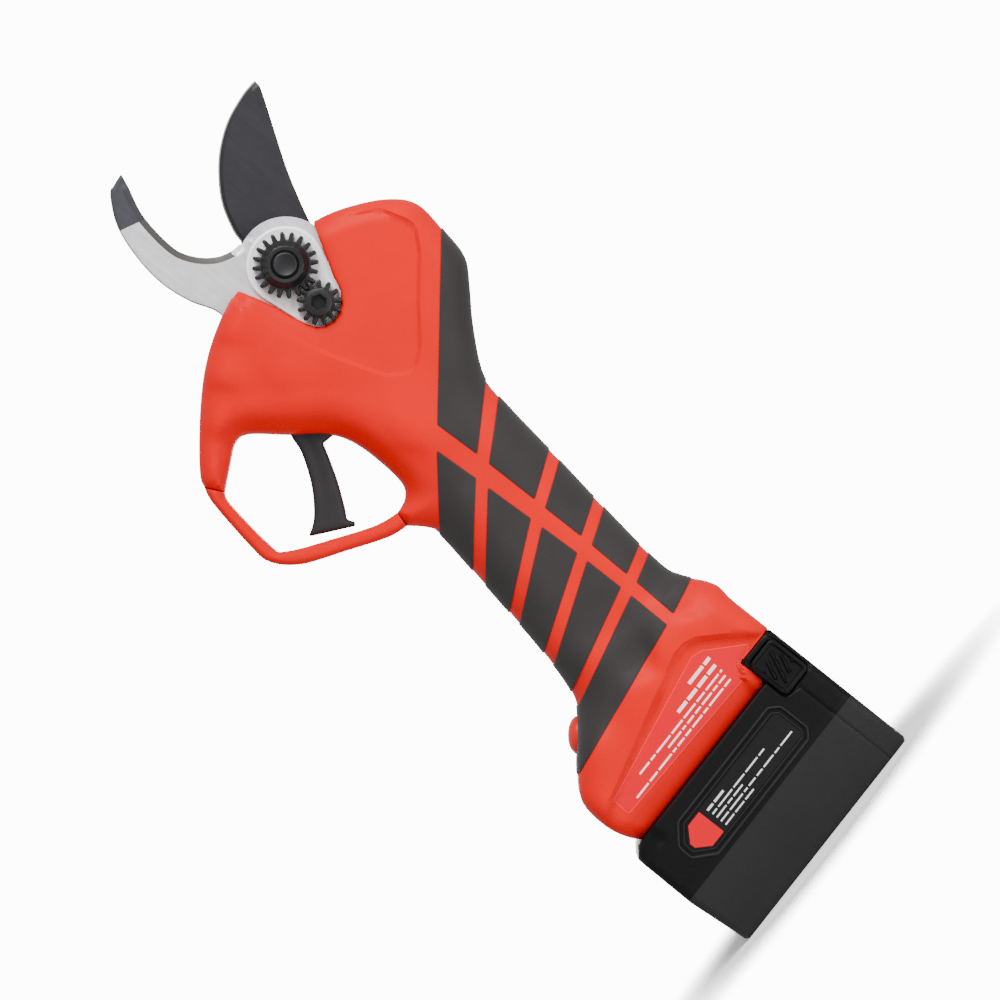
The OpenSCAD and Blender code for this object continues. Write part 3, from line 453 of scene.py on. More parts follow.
RED = (0.6, 0.0, 0.0)
M = {
    "red": plastic("red_moulding", RED, 0.44, seam=True, specular=0.07, dust=0.0),
    "grip": rubber("grip_rubber", (0.0235, 0.0203, 0.0206)),
    "trigger": plastic("trigger_moulding", (0.0185, 0.0172, 0.0185), 0.5, 2200, uneven=0.08),
    "black": plastic("pack_moulding", (0.0135, 0.0135, 0.014), 0.46, 2400, 0.000016, 0.08),
    # black_fine is the latch pads' own darker black, and also painted shade on the pack above its shelf
    "black_fine": plastic("pack_fine_moulding", (0.0032, 0.0032, 0.0034), 0.4, 3200, 0.000008, 0.06,
                          specular=0.1),
    "inside": plastic("inside_moulding", (0.022, 0.022, 0.023), 0.5),
    "white": plastic("holder_moulding", (0.75, 0.74, 0.68), 0.5),
    "board": plastic("solder_mask", (0.01, 0.1, 0.04), 0.35, 3000, specular=0.4),
    "yellow": plastic("lead_sleeve_yellow", (0.7, 0.42, 0.02), 0.5),
    "lead": plastic("lead_sleeve_red", (0.5, 0.01, 0.01), 0.5),
    "button": plastic("button_cap", RED, 0.35, 3200, 0.00001, specular=0.25, dust=0.0),
    "steel": metal("ground_steel", (0.66, 0.66, 0.69), 0.36, 0.5, brushed=28, scratch=0.8, uneven=0.12),
    "plate": metal("satin_plate", (0.97, 0.97, 0.98), 0.45, 0.08, brushed=-10, uneven=0.02),
    "bevel": metal("dark_bevel", (0.08, 0.076, 0.073), 0.38, 0.5, brushed=60, specular=0.3),
    "tip": metal("coated_tip", (0.046, 0.045, 0.054), 0.42, 0.4, brushed=28, specular=0.3),
    "blade": metal("coated_blade", (0.027, 0.0252, 0.0295), 0.44, 0.35, brushed=35, uneven=0.1,
                   specular=0.16),
    "edge": metal("honed_edge", (0.42, 0.41, 0.41), 0.3, 0.8, brushed=50),
    "oxide": metal("black_oxide", (0.013, 0.013, 0.014), 0.4, 0.45, uneven=0.2, pits=0.04, specular=0.35),
    "screw": metal("zinc_screw", (0.5, 0.5, 0.51), 0.32, 0.9),
    "gear": metal("machined_steel", (0.32, 0.32, 0.33), 0.34, 0.9),
    "cast": metal("cast_alloy", (0.36, 0.37, 0.39), 0.5, 0.7, uneven=0.12),
    "brass": metal("bush_brass", (0.62, 0.38, 0.11), 0.35, 0.9),
    "copper": metal("copper_windings", (0.55, 0.2, 0.08), 0.36, 0.9),
    "wrap": plastic("cell_wrap", (0.03, 0.13, 0.38), 0.3, 3000),
}


# ---------------------------------------------------------------- the housing's outline
HEAD_FRONT = curve([(19.5, 240.5), (11, 238.9), (0, 235.4), (-10.5, 230), (-22, 222),
                    (-31, 214.6), (-33.2, 211)])
FINGER_SIDE = curve([(-30.6, 205.6), (-22, 210), (-17, 212.2), (-12.5, 210.8), (-5, 201),
                     (2, 192.5), (5, 185), (5.6, 176), (4.6, 165.5), (1.5, 161.8), (-3.2, 160.9)])
GRIP_FRONT = curve([(-4.6, 156.2), (-1, 150.8), (-0.4, 146), (-4, 126), (-8.6, 102), (-13, 86.5),
                    (-18.5, 79.6), (-31, 70), (-37, 63.5), (-38.2, 54), (-36.8, 47),
                    (-34.8, 43.2)])
FOOT_BACK = curve([(38.3, 52.6), (38.4, 66), (38.9, 73), (34.8, 82), (33.6, 90), (36.6, 114),
                   (40.2, 138), (42.5, 154), (45.2, 166), (55, 178), (63.5, 186), (69.5, 192.5),
                   (71.9, 202), (73.4, 213.5), (68.5, 222), (58.5, 230.2), (50.3, 234.7)])
NOTCH = curve([(49.6, 234.5), (46.2, 228.8), (41, 220.2), (37.6, 214.2), (31.6, 211.3),
               (26.2, 213.6), (23.9, 220), (22.4, 229), (19.5, 240.5)])
BOTTOM = np.array([(-34.8, 43.2), (25.2, 43.2), (25.2, 52.6), (38.3, 52.6)])
HOUSING = joined(HEAD_FRONT, FINGER_SIDE, GRIP_FRONT, BOTTOM, FOOT_BACK, NOTCH)
ROUNDED = [np.vstack([HEAD_FRONT, FINGER_SIDE, GRIP_FRONT]), FOOT_BACK]

# The housing near each point: x, z, its half thickness, how far in its edge rounds, and the half
# thickness left at the edge itself
FORM = np.array([
    (-32, 208, 8.8, 5, 3), (-24, 216, 10.5, 8, 3), (-12, 222, 13, 10, 3.5), (0, 229, 15, 9, 5),
    (12, 236, 16.3, 7, 6.5), (15, 215, 16.5, 9, 6), (30, 205, 16.5, 8, 7), (60, 215, 16.5, 7, 8),
    (66, 203, 16.5, 8, 6), (45, 195, 16.5, 9, 6), (-7, 208, 14, 11, 3), (4, 196, 15, 12, 3),
    (8, 182, 16.3, 12, 3), (8, 168, 15, 12, 3), (0, 157, 12, 10, 2.5), (20, 172, 17.3, 15, 3),
    (15, 140, 18, 15, 3), (30, 140, 18, 15, 3), (8, 112, 18, 15, 3), (25, 112, 18, 15, 3),
    (10, 92, 18, 14, 3.5), (28, 90, 18, 13, 4), (-8, 84, 19, 12, 5), (8, 79, 19.6, 11, 7),
    (30, 77, 20.6, 9, 11), (-26, 64, 23.5, 8, 14), (0, 68, 23.7, 8, 14), (30, 64, 23.7, 7, 15),
    (15, 71.5, 23.6, 8, 13), (24, 69.5, 23.7, 8, 13),
    (-32, 52, 24, 6, 16), (0, 50, 24, 6, 16), (32, 56, 24, 5, 17)])
PANEL = softened([(16, 244), (18, 220), (22, 204), (27, 189), (33, 182.5), (40, 186), (50, 194.5),
                  (62, 203.5), (68, 210), (65, 221), (54, 231), (48, 240)], 6, 6)
RIDGE = np.array([(-39, 55.5), (-31, 58.5), (15, 70.2), (19, 70), (23, 68.2), (30, 61),
                  (36.5, 54.4), (40, 51)])
BLOCK = softened([(21.4, 42), (21.4, 48.8), (24.2, 52.6), (40, 53), (40, 42)], 2, 4)
TRIGGER_SLOT = np.array([(-7, 203.8), (-3, 206.8), (7, 208.6), (13.6, 205), (13.6, 192),
                         (10, 187.5), (2.5, 187.5), (-1, 194)])
SCREW_POSTS = [(-17, 219), (63, 205), (47.5, 178.5), (-6, 92), (27.5, 97), (-29, 62), (31, 60)]


def from_edge(P):
    """Distance in from the housing's rounded edges, 0 outside it."""
    d = np.minimum(far(P, ROUNDED[0]), far(P, ROUNDED[1]))
    return np.where(within(P, HOUSING), d, 0)


def form_at(P):
    """The half thickness, edge radius and edge band at each point."""
    w = 1 / (np.hypot(P[:, :1] - FORM[:, 0], P[:, 1:] - FORM[:, 1]) + 2) ** 4
    w /= w.sum(1, keepdims=True)
    return (w @ FORM[:, 2:]).T


def below_ridge(P):
    """About how far each point is below the foot's ridge line, square to the line."""
    drop = np.interp(P[:, 0], RIDGE[:, 0], RIDGE[:, 1]) - P[:, 1]
    slope = np.interp(P[:, 0], RIDGE[:, 0], np.gradient(RIDGE[:, 1], RIDGE[:, 0]))
    return drop / np.sqrt(1 + slope ** 2)


def surface(P):
    """The housing's outer surface at each point, as a distance from the parting plane."""
    half, radius, band = form_at(P)
    d = from_edge(P)
    y = band + (half - band) * np.sqrt(np.maximum(0, 1 - (1 - np.clip(d / radius, 0, 1)) ** 2))
    # the soft trough above the finger loop
    y -= 0.6 * np.exp(-((far(P, FINGER_SIDE[6:-8]) - 2.6) / 1.9) ** 2) * smooth(d / 2)
    # the sunk panel on the head
    y -= 1.2 * smooth(depth(P, PANEL) / 1.3 + 0.5)
    # the edge round the notch
    from_notch = far(P, NOTCH)
    y -= 1.1 * (1 - rolled(from_notch, 1.1) / 1.1) + 0.5 * smooth(1 - from_notch / 3.5)
    # the foot: a chamfer down to the label's plane, a raised corner block, then an undercut
    low = below_ridge(P)
    plane = 21.5 - 2.6 * np.clip((50.4 - P[:, 1]) / 7.2, 0, 1)
    plane += 1.7 * smooth(depth(P, BLOCK) + 0.5)
    rim = plane - 5 * (1 - rolled(d, 5) / 5)
    y = np.where(P[:, 1] < 75, y + (np.minimum(y, rim) - y) * np.clip(low / 2.4, 0, 1), y)
    from_bottom = far(P, BOTTOM)
    return y - 0.8 * (1 - rolled(from_bottom, 0.8) / 0.8)


def hollow(P, near):
    """The housing's inner surface at each point, as a distance from the parting plane."""
    d = np.minimum(from_edge(P), far(P, NOTCH))
    y = np.where(d > 2.4, surface(P) - 2.4, 0.03)
    from_pivot = np.hypot(*(P - PIVOT).T)
    y = np.where(from_pivot < 21.2, np.maximum(y, 4.7), y)
    case = (from_pivot < 28.9) & (from_edge(P) > 2.5)
    y = np.where(case, np.maximum(y, 9.9 if near else 13.3), y)
    y = np.where(within(P, TRIGGER_SLOT), np.maximum(y, 4.9), y)
    foot = (P[:, 0] > -31) & (P[:, 1] < 50)
    y = np.where(foot, np.maximum(y, np.where(P[:, 1] < 45.6, 11.3, 14.4)), y)
    return np.minimum(y, surface(P) - 0.8)


SHELL_RIMS = [0.12, 0.45, 1.0, 1.8, 2.8, 4.0]
PANEL_LINES = [line[(from_edge(line) > 2) & (far(line, NOTCH) > 2)]
               for line in (grown(PANEL, -0.6), grown(PANEL, 0.6))]
SHELL_LINES = [RIDGE[1:-2] - (0, drop) for drop in (0, 0.4, 2.4, 2.8)] + PANEL_LINES
SHELL_LINES.append(np.array([(-33, 50.4), (20.5, 50.4)]))
WELLS = [circle(p, 2.6, 24) for p in SCREW_POSTS]
for side, node, holes in ((-1, "left_shell", []), (1, "right_shell", WELLS)):
    shell = relief(node + "_moulding", HOUSING, lambda P, s=side: s * surface(P),
                   lambda P, s=side: s * hollow(P, s < 0), [M["red"]], 1.3, holes,
                   SHELL_LINES, SHELL_RIMS, sharp=40)
    put(shell, "housing", "red_shell", node)

# ---------------------------------------------------------------- rubber inlays
INNER_FRONT = [(18.9, 163), (19.6, 148.7), (19.7, 144.2), (20.3, 128.4), (20.4, 124.3),
               (20.8, 111.2), (20.8, 107.4), (20.8, 94.6), (20.8, 90.7), (20.5, 77)]
OUTER_FRONT = [(-0.3, 147), (-2.7, 132.5), (-3.6, 127), (-5.8, 116), (-6.7, 111.5), (-8.7, 100.5),
               (-9.7, 96), (-12.8, 86.7), (-15.3, 82.5), (-31, 70)]
INNER_BACK = [(25, 167.6), (25.4, 152.8), (25.4, 148.3), (25.4, 131), (25.4, 127), (25.4, 113.3),
              (25.3, 109.2), (24.9, 95.6), (24.9, 91.9), (24.2, 77.5)]
OUTER_BACK = [(72, 203.1), (44.5, 164.5), (42.8, 158.3), (39.9, 136.8), (39.1, 132.3),
              (36.9, 117.3), (36.2, 113), (34.5, 98), (33.9, 94), (35.2, 79.5)]


SKIN = grown(HOUSING, 0.3)


def runs(line, keep):
    """The runs of a line's points for which keep is true."""
    out = [[]]
    for p, k in zip(line, keep):
        if k:
            out[-1].append(p)
        elif out[-1]:
            out.append([])
    return [np.array(run) for run in out if len(run) > 1]


def patch(side, number, inner, outer, i):
    """One rubber inlay. It wraps round the housing's edge to the parting plane."""
    a, b = np.array(inner[i], float), np.array(outer[i], float)
    c, d = np.array(outer[i + 1], float), np.array(inner[i + 1], float)
    shape = softened([a, b + (b - a) * 0.4, c + (c - d) * 0.4, d], 0.5, 3)

    def top(P):
        proud = 0.3 - 0.14 * (1 - rolled(far(P, shape, True), 0.5) / 0.5)
        rise = [(surface(P + step) - surface(P - step)) / 0.4 for step in ((0.2, 0), (0, 0.2))]
        return side * (surface(P) + proud * np.sqrt(1 + np.minimum(np.hypot(*rise), 4) ** 2))

    def under(P):
        return side * np.where(from_edge(P) > 0.9, surface(P) - 1.1, 0.03)

    lo, hi = shape.min(0) - 1, shape.max(0) + 1
    lines = []
    for off in (0.15, 0.7, 1.6, 2.8):
        loop = grown(HOUSING, -off)
        lines += runs(loop, np.all((loop > lo) & (loop < hi), 1))
    return relief("grip_%s_%d" % ("left" if side < 0 else "right", number), shape, top, under,
                  [M["grip"]], 1.3, (), lines, [0.15, 0.45, 1.0, 1.9, 3.0], sharp=40, clip=SKIN)


for side, node in ((-1, "left_grip"), (1, "right_grip")):
    parts = []
    for i in range(0, 10, 2):
        parts.append(patch(side, i, INNER_FRONT, OUTER_FRONT, i))
        parts.append(patch(side, i + 1, INNER_BACK, OUTER_BACK, i))
    put(both(parts, node + "_inlays"), "housing", "grip_rubber", node)

# ---------------------------------------------------------------- trigger guard and trigger
GUARD_OUTER = curve([(-33.2, 211), (-35.3, 206), (-38.3, 190), (-38.6, 182), (-33.3, 174),
                     (-22, 166), (-10.6, 158.4), (-4.6, 156.2)])
GUARD_INNER = curve([(-3.2, 160.9), (-10, 163.6), (-20, 170.3), (-33, 180), (-34.7, 185),
                     (-32.4, 202), (-30.6, 205.6)])
GUARD = joined(GUARD_OUTER, GUARD_INNER)


def guard_y(P, side):
    d = np.minimum(far(P, GUARD_OUTER), far(P, GUARD_INNER))
    step = smooth((1.7 - far(P, GUARD_INNER)) / 0.7)
    ends = np.minimum(far(P, np.array([GUARD_OUTER[0], GUARD_INNER[-1]])),
                      far(P, np.array([GUARD_OUTER[-1], GUARD_INNER[0]])))
    return side * (8.2 - 2.6 * (1 - rolled(d, 2.4) / 2.4) - 0.7 * step
                   - 0.35 * (1 - rolled(ends, 0.35) / 0.35))


put(relief("finger_guard", GUARD, lambda P: guard_y(P, -1), lambda P: guard_y(P, 1), [M["red"]],
           1.0, rims=[0.12, 0.45, 1.0, 1.7]), "housing", "red_shell", "trigger_guard")

TRIGGER_FRONT = curve([(1, 206.2), (-2.6, 203.8), (-5, 200), (-7, 194.5), (-13, 186),
                       (-20, 179.7), (-25, 177.6)])
TRIGGER_BACK = curve([(-14.4, 168.5), (-13.4, 169.4), (-14.0, 171.7), (-11.9, 174.2), (-6.2, 182),
                      (-0.6, 191.4)])
TRIGGER = joined(TRIGGER_FRONT, [(-24.8, 176.9), (-20, 173)], TRIGGER_BACK,
                 [(3, 190.6), (8.6, 190.2), (10.6, 196), (11.4, 202), (10.6, 205), (7, 206.4)])


def trigger_y(P, side):
    d = depth(P, TRIGGER)
    swell = 0.35 * smooth(1 - np.abs(far(P, TRIGGER_FRONT) - 3.2) / 2.2)
    return side * (4.5 - 1.5 * (1 - rolled(d, 1.5) / 1.5) - swell)


put(relief("finger_trigger", TRIGGER, lambda P: trigger_y(P, -1), lambda P: trigger_y(P, 1),
           [M["trigger"]], 0.9, [circle((7, 202), 1.52, 20)], rims=[0.1, 0.35, 0.8, 1.3]),
    "trigger_lever", "trigger_plastic", "trigger")

# ---------------------------------------------------------------- hook
HOOK_OUTER = curve([(25, 288.8), (21.5, 288.4), (18.5, 287.5), (12.4, 280), (8.6, 269.5),
                    (7.1, 258.6), (8.2, 249), (10.6, 241.5), (10.8, 234), (12.6, 226)])
HOOK_INNER = curve([(23.6, 284.5), (19.6, 275.8), (17.8, 264), (19, 257.5), (23, 251.5),
                    (28.5, 248.3), (34, 248)])
HOOK = joined(HOOK_OUTER, [(13.2, 220.8), (18, 219.4), (22, 221.5)],
              arc(PIVOT, 14.8, 222, 462, 48), HOOK_INNER[-5::-1], [(25.3, 288.5)])
TIP_LINE = np.array([(12.3, 278.2), (17.9, 275.4)])


def hook_front(P):
    grind = far(P, HOOK_INNER)
    rim = far(P, HOOK_OUTER)
    return -9.5 + 1.5 * np.clip(1 - grind / 2.0, 0, 1) ** 0.9 + 0.4 * (1 - rolled(rim, 0.4) / 0.4)


def hook_back(P):
    return -4.5 - 0.35 * (1 - rolled(depth(P, HOOK), 0.35) / 0.35)


def hook_paint(mid):
    across = TIP_LINE[1] - TIP_LINE[0]
    past = (mid - TIP_LINE[0]) @ np.array([-across[1], across[0]]) > 0
    grind = (far(mid, HOOK_INNER) < 1.98) & (mid[:, 0] < 27.5)
    outer = far(mid, HOOK_OUTER) < 0.35
    return np.where(past, 1, np.where(grind | outer, 2, 0))


def shifted(line, by):
    """An open line moved sideways, to the left of its direction where by is above 0."""
    ahead = np.gradient(np.asarray(line, float), axis=0)
    side = np.stack([-ahead[:, 1], ahead[:, 0]], 1)
    return line + by * side / np.linalg.norm(side, axis=1, keepdims=True)


hook = relief("fixed_hook", HOOK, hook_front, hook_back, [M["steel"], M["tip"], M["bevel"]], 1.0,
              [circle(p, 2.1, 20) for p in ((15.2, 233.5), (17, 224.6))] + [circle(PIVOT, 4.05, 32)],
              [TIP_LINE, shifted(HOOK_INNER, -2.0)[2:-6]], [0.12, 0.38], hook_paint)
put(hook, "housing", "bright_steel", "hook_blade")

# ---------------------------------------------------------------- cutting blade
BLADE_EDGE = curve([(72.4, 275.1), (67, 275.4), (57, 273.8), (47, 269), (38, 261), (33.1, 252.8),
                    (31.8, 248.4)])
BLADE_SPINE = curve([(48, 233), (51.4, 240), (57.1, 250.3), (63.2, 259.5), (70.2, 269.8),
                     (72.2, 273)])
BLADE = joined(BLADE_EDGE, arc(PIVOT, 15, 103, 358, 48), BLADE_SPINE)


def blade_front(P):
    boss = smooth((np.hypot(*(P - PIVOT).T) - 14.6) / 0.4)
    grind = far(P, BLADE_EDGE)
    spine = far(P, BLADE_SPINE)
    return -4.4 + 0.5 * boss + 1.2 * np.clip(1 - grind / 1.6, 0, 1) + 0.3 * (
        1 - rolled(spine, 0.3) / 0.3)


def blade_back(P):
    return -1.0 - 1.3 * np.clip(1 - far(P, BLADE_EDGE) / 8, 0, 1)


def blade_paint(mid):
    return np.where(far(mid, BLADE_EDGE) < 0.4, 1, 0)


blade = relief("swing_blade", BLADE, blade_front, blade_back, [M["blade"], M["edge"]], 1.2,
               [circle(PIVOT, 6.05, 40)], [arc(PIVOT, 14.6, 95, 0, 30), arc(PIVOT, 15.05, 95, 0, 30)],
               [0.15, 0.5, 1.6], blade_paint)
put(blade, "blade", "blade_steel", "cutting_blade")

# ---------------------------------------------------------------- side plates
TOP_R, LOW_R = 11.9, 7.9
touch = math.degrees(math.acos((TOP_R - LOW_R) / GEAR_SPACING))
ahead = math.degrees(math.atan2(DRIVE[1], DRIVE[0]))
TEARDROP = joined(arc(PIVOT, TOP_R, ahead + touch, ahead + 360 - touch, 60),
                  arc(LOCK, LOW_R, ahead - touch, ahead + touch, 30))


def plate_y(P, outer, inner):
    d = depth(P, TEARDROP)
    s = math.copysign(1, outer)
    lip = 0.25 * smooth((d - 0.9) / 0.5)
    return outer - s * (0.7 * (1 - rolled(d, 0.7) / 0.7) + lip)


for node, outer, inner in (("left_side_plate", -11.5, -9.5), ("right_side_plate", 15, 13)):
    plate = relief(node + "_pressing", TEARDROP, lambda P, o=outer, i=inner: plate_y(P, o, i),
                   lambda P, i=inner: i, [M["plate"]], 0.9,
                   [circle(PIVOT, 4.06, 32), circle(LOCK, 2.6, 24)], (), [0.1, 0.35, 0.7, 1.1, 1.5])
    put(plate, "housing", "plate_steel", node)


# ---------------------------------------------------------------- tension gears
def gear(centre, teeth, tip, root, start, width):
    """A closed outline of long round-tipped teeth."""
    out = []
    pitch = 2 * math.pi / teeth
    for k in range(teeth):
        a = math.radians(start) + k * pitch
        for turn, r in ((-0.5 * pitch, root), (-0.36 * pitch, root), (-width * pitch, root + 0.35),
                        (-width * 0.82 * pitch, (tip + root) / 2), (-width * 0.66 * pitch, tip - 0.45),
                        (-width * 0.42 * pitch, tip - 0.1), (0, tip),
                        (width * 0.42 * pitch, tip - 0.1), (width * 0.66 * pitch, tip - 0.45),
                        (width * 0.82 * pitch, (tip + root) / 2), (width * pitch, root + 0.35),
                        (0.36 * pitch, root)):
            out.append((centre[0] + r * math.cos(a + turn), centre[1] + r * math.sin(a + turn)))
    return np.array(out)


TURN = math.degrees(TILT)
NUT_GEAR = gear(PIVOT, 20, 10.0, 7.6, -90 - TURN, 0.29)
LOCK_GEAR = gear(LOCK, 13, 6.85, 4.7, 90 - TURN + 180 / 13, 0.28)


def toothed(name, outline, hole, front, back, at):
    def face(P):
        return front + 0.3 * (1 - rolled(depth(P, outline), 0.3) / 0.3)
    return relief(name, outline, face, lambda P: back, [M["oxide"]], 0.7, [circle(at, hole, 40)],
                  (), [0.1, 0.3])


nut = toothed("nut_gear", NUT_GEAR, 4.08, -16.6, -11.6, PIVOT)
collar = lathe("nut_collar", [(4.08, -16.2), (4.08, -19.2), (4.35, -19.5), (5.3, -19.6),
                              (5.55, -19.45), (5.75, -18.7), (6.1, -18.1), (6.9, -17.3), (7.15, -16.5),
                              (7.15, -16.2)], PIVOT, [M["oxide"]], 72)
put(both([nut, collar], "tension_nut_turned"), "nut", "black_oxide", "tension_nut")
pinion = toothed("lock_gear", LOCK_GEAR, 2.56, -16.4, -11.6, LOCK)
put(pinion, "locking_pinion", "black_oxide", "lock_pinion")


def ring_of(n, at, r, y, start=0.0):
    a = np.radians(start + np.arange(n) * 360 / n)
    return [(at[0] + r * math.cos(t), y, at[1] + r * math.sin(t)) for t in a]


def socket_head(name, at, r, top, base, across, deep, mats, sides=6, n=48):
    """A screw head with a socket, made from rings about the Y axis. top is its outer face."""
    s = math.copysign(1, top - base)
    rings = [ring_of(n, at, r, base), ring_of(n, at, r, top - s * 0.5),
             ring_of(n, at, r - 0.15, top - s * 0.15), ring_of(n, at, r - 0.5, top)]
    hexed = []
    for k in range(n):
        a = 2 * math.pi * k / n
        t = (a + math.pi / sides) % (2 * math.pi / sides) - math.pi / sides
        q = across / 2 / math.cos(t)
        hexed.append((at[0] + q * math.cos(a), at[1] + q * math.sin(a)))
    rings.append([(x + 0.12 * (x - at[0]), top, z + 0.12 * (z - at[1])) for x, z in hexed])
    rings.append([(x, top - s * 0.25, z) for x, z in hexed])
    rings.append([(x, top - s * deep, z) for x, z in hexed])
    verts = [v for ring in rings for v in ring] + [(at[0], top - s * deep, at[1])]
    faces = [(k * n + i, k * n + (i + 1) % n, (k + 1) * n + (i + 1) % n, (k + 1) * n + i)
             for k in range(len(rings) - 1) for i in range(n)]
    last = (len(rings) - 1) * n
    faces += [(last + i, last + (i + 1) % n, len(verts) - 1) for i in range(n)]
    return make(name, np.array(verts), faces, mats, None, 30)


lock_head = socket_head("lock_socket", LOCK, 4.2, -19.0, -16.4, 4.0, 2.3, [M["oxide"]])
lock_stem = lathe("lock_stem", [(0, -16.4), (2.5, -16.4), (2.5, -6.2), (0, -6.2)], LOCK, [M["oxide"]], 32)
put(both([lock_head, lock_stem], "lock_screw_turned"), "locking_pinion", "black_oxide", "lock_screw")

bolt_end = lathe("bolt_end", [(0, -19.95), (2.9, -19.95), (3.2, -20.1), (3.5, -20.0), (3.6, -19.6),
                              (4.0, -19.2), (4.0, 15)], PIVOT, [M["oxide"]], 48)
bolt_head = lathe("bolt_head", [(8.5, 15), (8.5, 15.8), (8.2, 16), (7.5, 16)], PIVOT, [M["oxide"]], 64)
bolt_hex = lathe("bolt_hex", [(7.5, 16), (7.5, 19.1), (7.0, 19.5), (6.2, 19.6), (0, 19.6)], PIVOT,
                 [M["oxide"]], 6, 25)
put(both([bolt_end, bolt_head, bolt_hex], "pivot_bolt_turned"), "housing", "black_oxide", "pivot_bolt")

# ---------------------------------------------------------------- power button and labels
to_button = (Matrix.Translation(Vector((BUTTON[0], 0, BUTTON[1])))
             @ Matrix.Rotation(-BUTTON_LEAN, 4, "Y") @ Matrix.Rotation(math.radians(-90), 4, "X"))
button = lathe("button_dome", [(0, -3.4), (1.6, -3.3), (2.8, -3.05), (4, -2.6), (5, -1.9), (5.6, -1.2),
                               (5.85, -0.4), (5.9, 0.6), (5.9, 3.2), (7.4, 3.2), (7.4, 4.2),
                               (2, 4.2), (2, 5), (0, 5)], (0, 0), [M["button"]], 56, 35, to_button)
put(button, "button", "button_red", "power_button")

LABEL = softened([(-30.6, 57.2), (17.3, 65.4), (20.8, 64.2), (31, 54.4), (29.5, 53.2), (24.2, 53.0),
                  (21.2, 49.0), (-31.0, 50.9)], 0.8, 3)


def bars(name, rows, front, mats):
    """Rows of plain bars that stand for printed lines: (x from, x to, z, height, seed)."""
    verts, faces = [], []
    for x0, x1, z, tall, seed in rows:
        x, k = x0, seed
        while x < x1 - 0.8:
            k = (k * 7 + 3) % 11
            wide = min(1.6 + 0.5 * k, x1 - x)
            n = len(verts)
            flat = np.array([(x, z), (x + wide, z), (x + wide, z + tall), (x, z + tall)])
            y = front(flat)
            verts += [(p[0], t, p[1]) for p, t in zip(flat, y)]
            verts += [(p[0], t + 0.03, p[1]) for p, t in zip(flat, y)]
            faces += [(n, n + 1, n + 2, n + 3), (n + 4, n + 7, n + 6, n + 5)]
            faces += [(n + i, n + 4 + i, n + 4 + (i + 1) % 4, n + (i + 1) % 4) for i in range(4)]
            x += wide + 0.7
    return make(name, np.array(verts), faces, mats, None, 30)


film = plastic("label_film_red", (0.62, 0.0, 0.012), 0.3, 3600, 0.000004, 0.02, specular=0.04, dust=0.0)
# a lighter red for the label's rim: a painted highlight along its edge
painted_edge_highlight = plastic("label_film_edge", (0.9, 0.012, 0.014), 0.3, 3600, 0.000004, 0.02, dust=0.0)
ink = plastic("label_ink_white", (0.95, 0.72, 0.7), 0.4, 3600, 0.000004, 0.03, dust=0.0)
dark_film = plastic("label_film_black", (0.007, 0.007, 0.0075), 0.3, 3600, 0.000004, 0.04, dust=0.02)
dark_ink = plastic("label_ink_grey", (0.6, 0.6, 0.6), 0.4, 3600, 0.000004, 0.03, dust=0.0)


def label_front(P):
    return -surface(P) - 0.14


# the label's outer 0.24 mm takes the lighter rim colour, a painted highlight
def label_highlight_paint(mid):
    return np.where(far(mid, LABEL, True) < 0.24, 1, 0)


label = relief("red_label", LABEL, label_front, lambda P: label_front(P) + 0.12, [film, painted_edge_highlight],
               1.2, rims=[0.25], paint=label_highlight_paint)
put(label, "housing", "label_red", "rating_label")
print_red = bars("red_label_lines", [(10.7, 20.6, 60.4, 1.1, 1), (2, 20, 57.7, 1.1, 5),
                                     (-19.5, 20, 55.5, 0.6, 2), (-8, 19.4, 53.7, 0.6, 4),
                                     (-25.6, 19.4, 51.8, 0.6, 7)],
                 lambda P: label_front(P) - 0.05, [ink])
put(print_red, "housing", "label_red")

# ---------------------------------------------------------------- battery pack
PACK = joined(arc((-37.2, 1.6), 1.6, 200, 270, 6), arc((36.4, 1.6), 1.6, 270, 358, 8),
              [(38.3, 51.2)], arc((37.2, 51.4), 1.1, 10, 90, 6), [(25.25, 52.5), (25.25, 43.12)],
              [(-34.8, 43.12), (-36.6, 42.9), (-39.9, 40.2), (-40.3, 20)])
PACK_SIDES = [np.array([(-34.8, 43.12), (-36.6, 42.9), (-39.9, 40.2), (-40.3, 20), (-38.8, 1.6)]),
              np.array([(37.2, 52.3), (38.3, 51.2), (38, 1.6)])]
WINDOW = softened([(25.0, 35.4), (37.2, 35.4), (37.2, 51), (25.0, 51)], 1.6, 5)
FRAME = softened([(-29.2, 31.6), (-28.8, 33.5), (-23.5, 37.9), (19.5, 37.9), (22, 35.2), (22, 25.4),
                  (19.5, 23.2), (-23.5, 23.2), (-29.2, 28.4)], 1.6, 5)
STICKER = softened([(-27.0, 31.5), (-22.6, 35.6), (19, 35.6), (20, 34.6), (20, 26.2), (19, 25.2),
                    (-23, 25.2), (-27, 29.2)], 0.4, 3)
LATCH = softened([(25.6, 36.0), (36.7, 36.0), (36.7, 50.4), (25.6, 50.4)], 2.2, 6)
SEAM = np.array([(30.5, -1), (30.5, 34.2), (25.5, 36.0), (25.5, 54)])


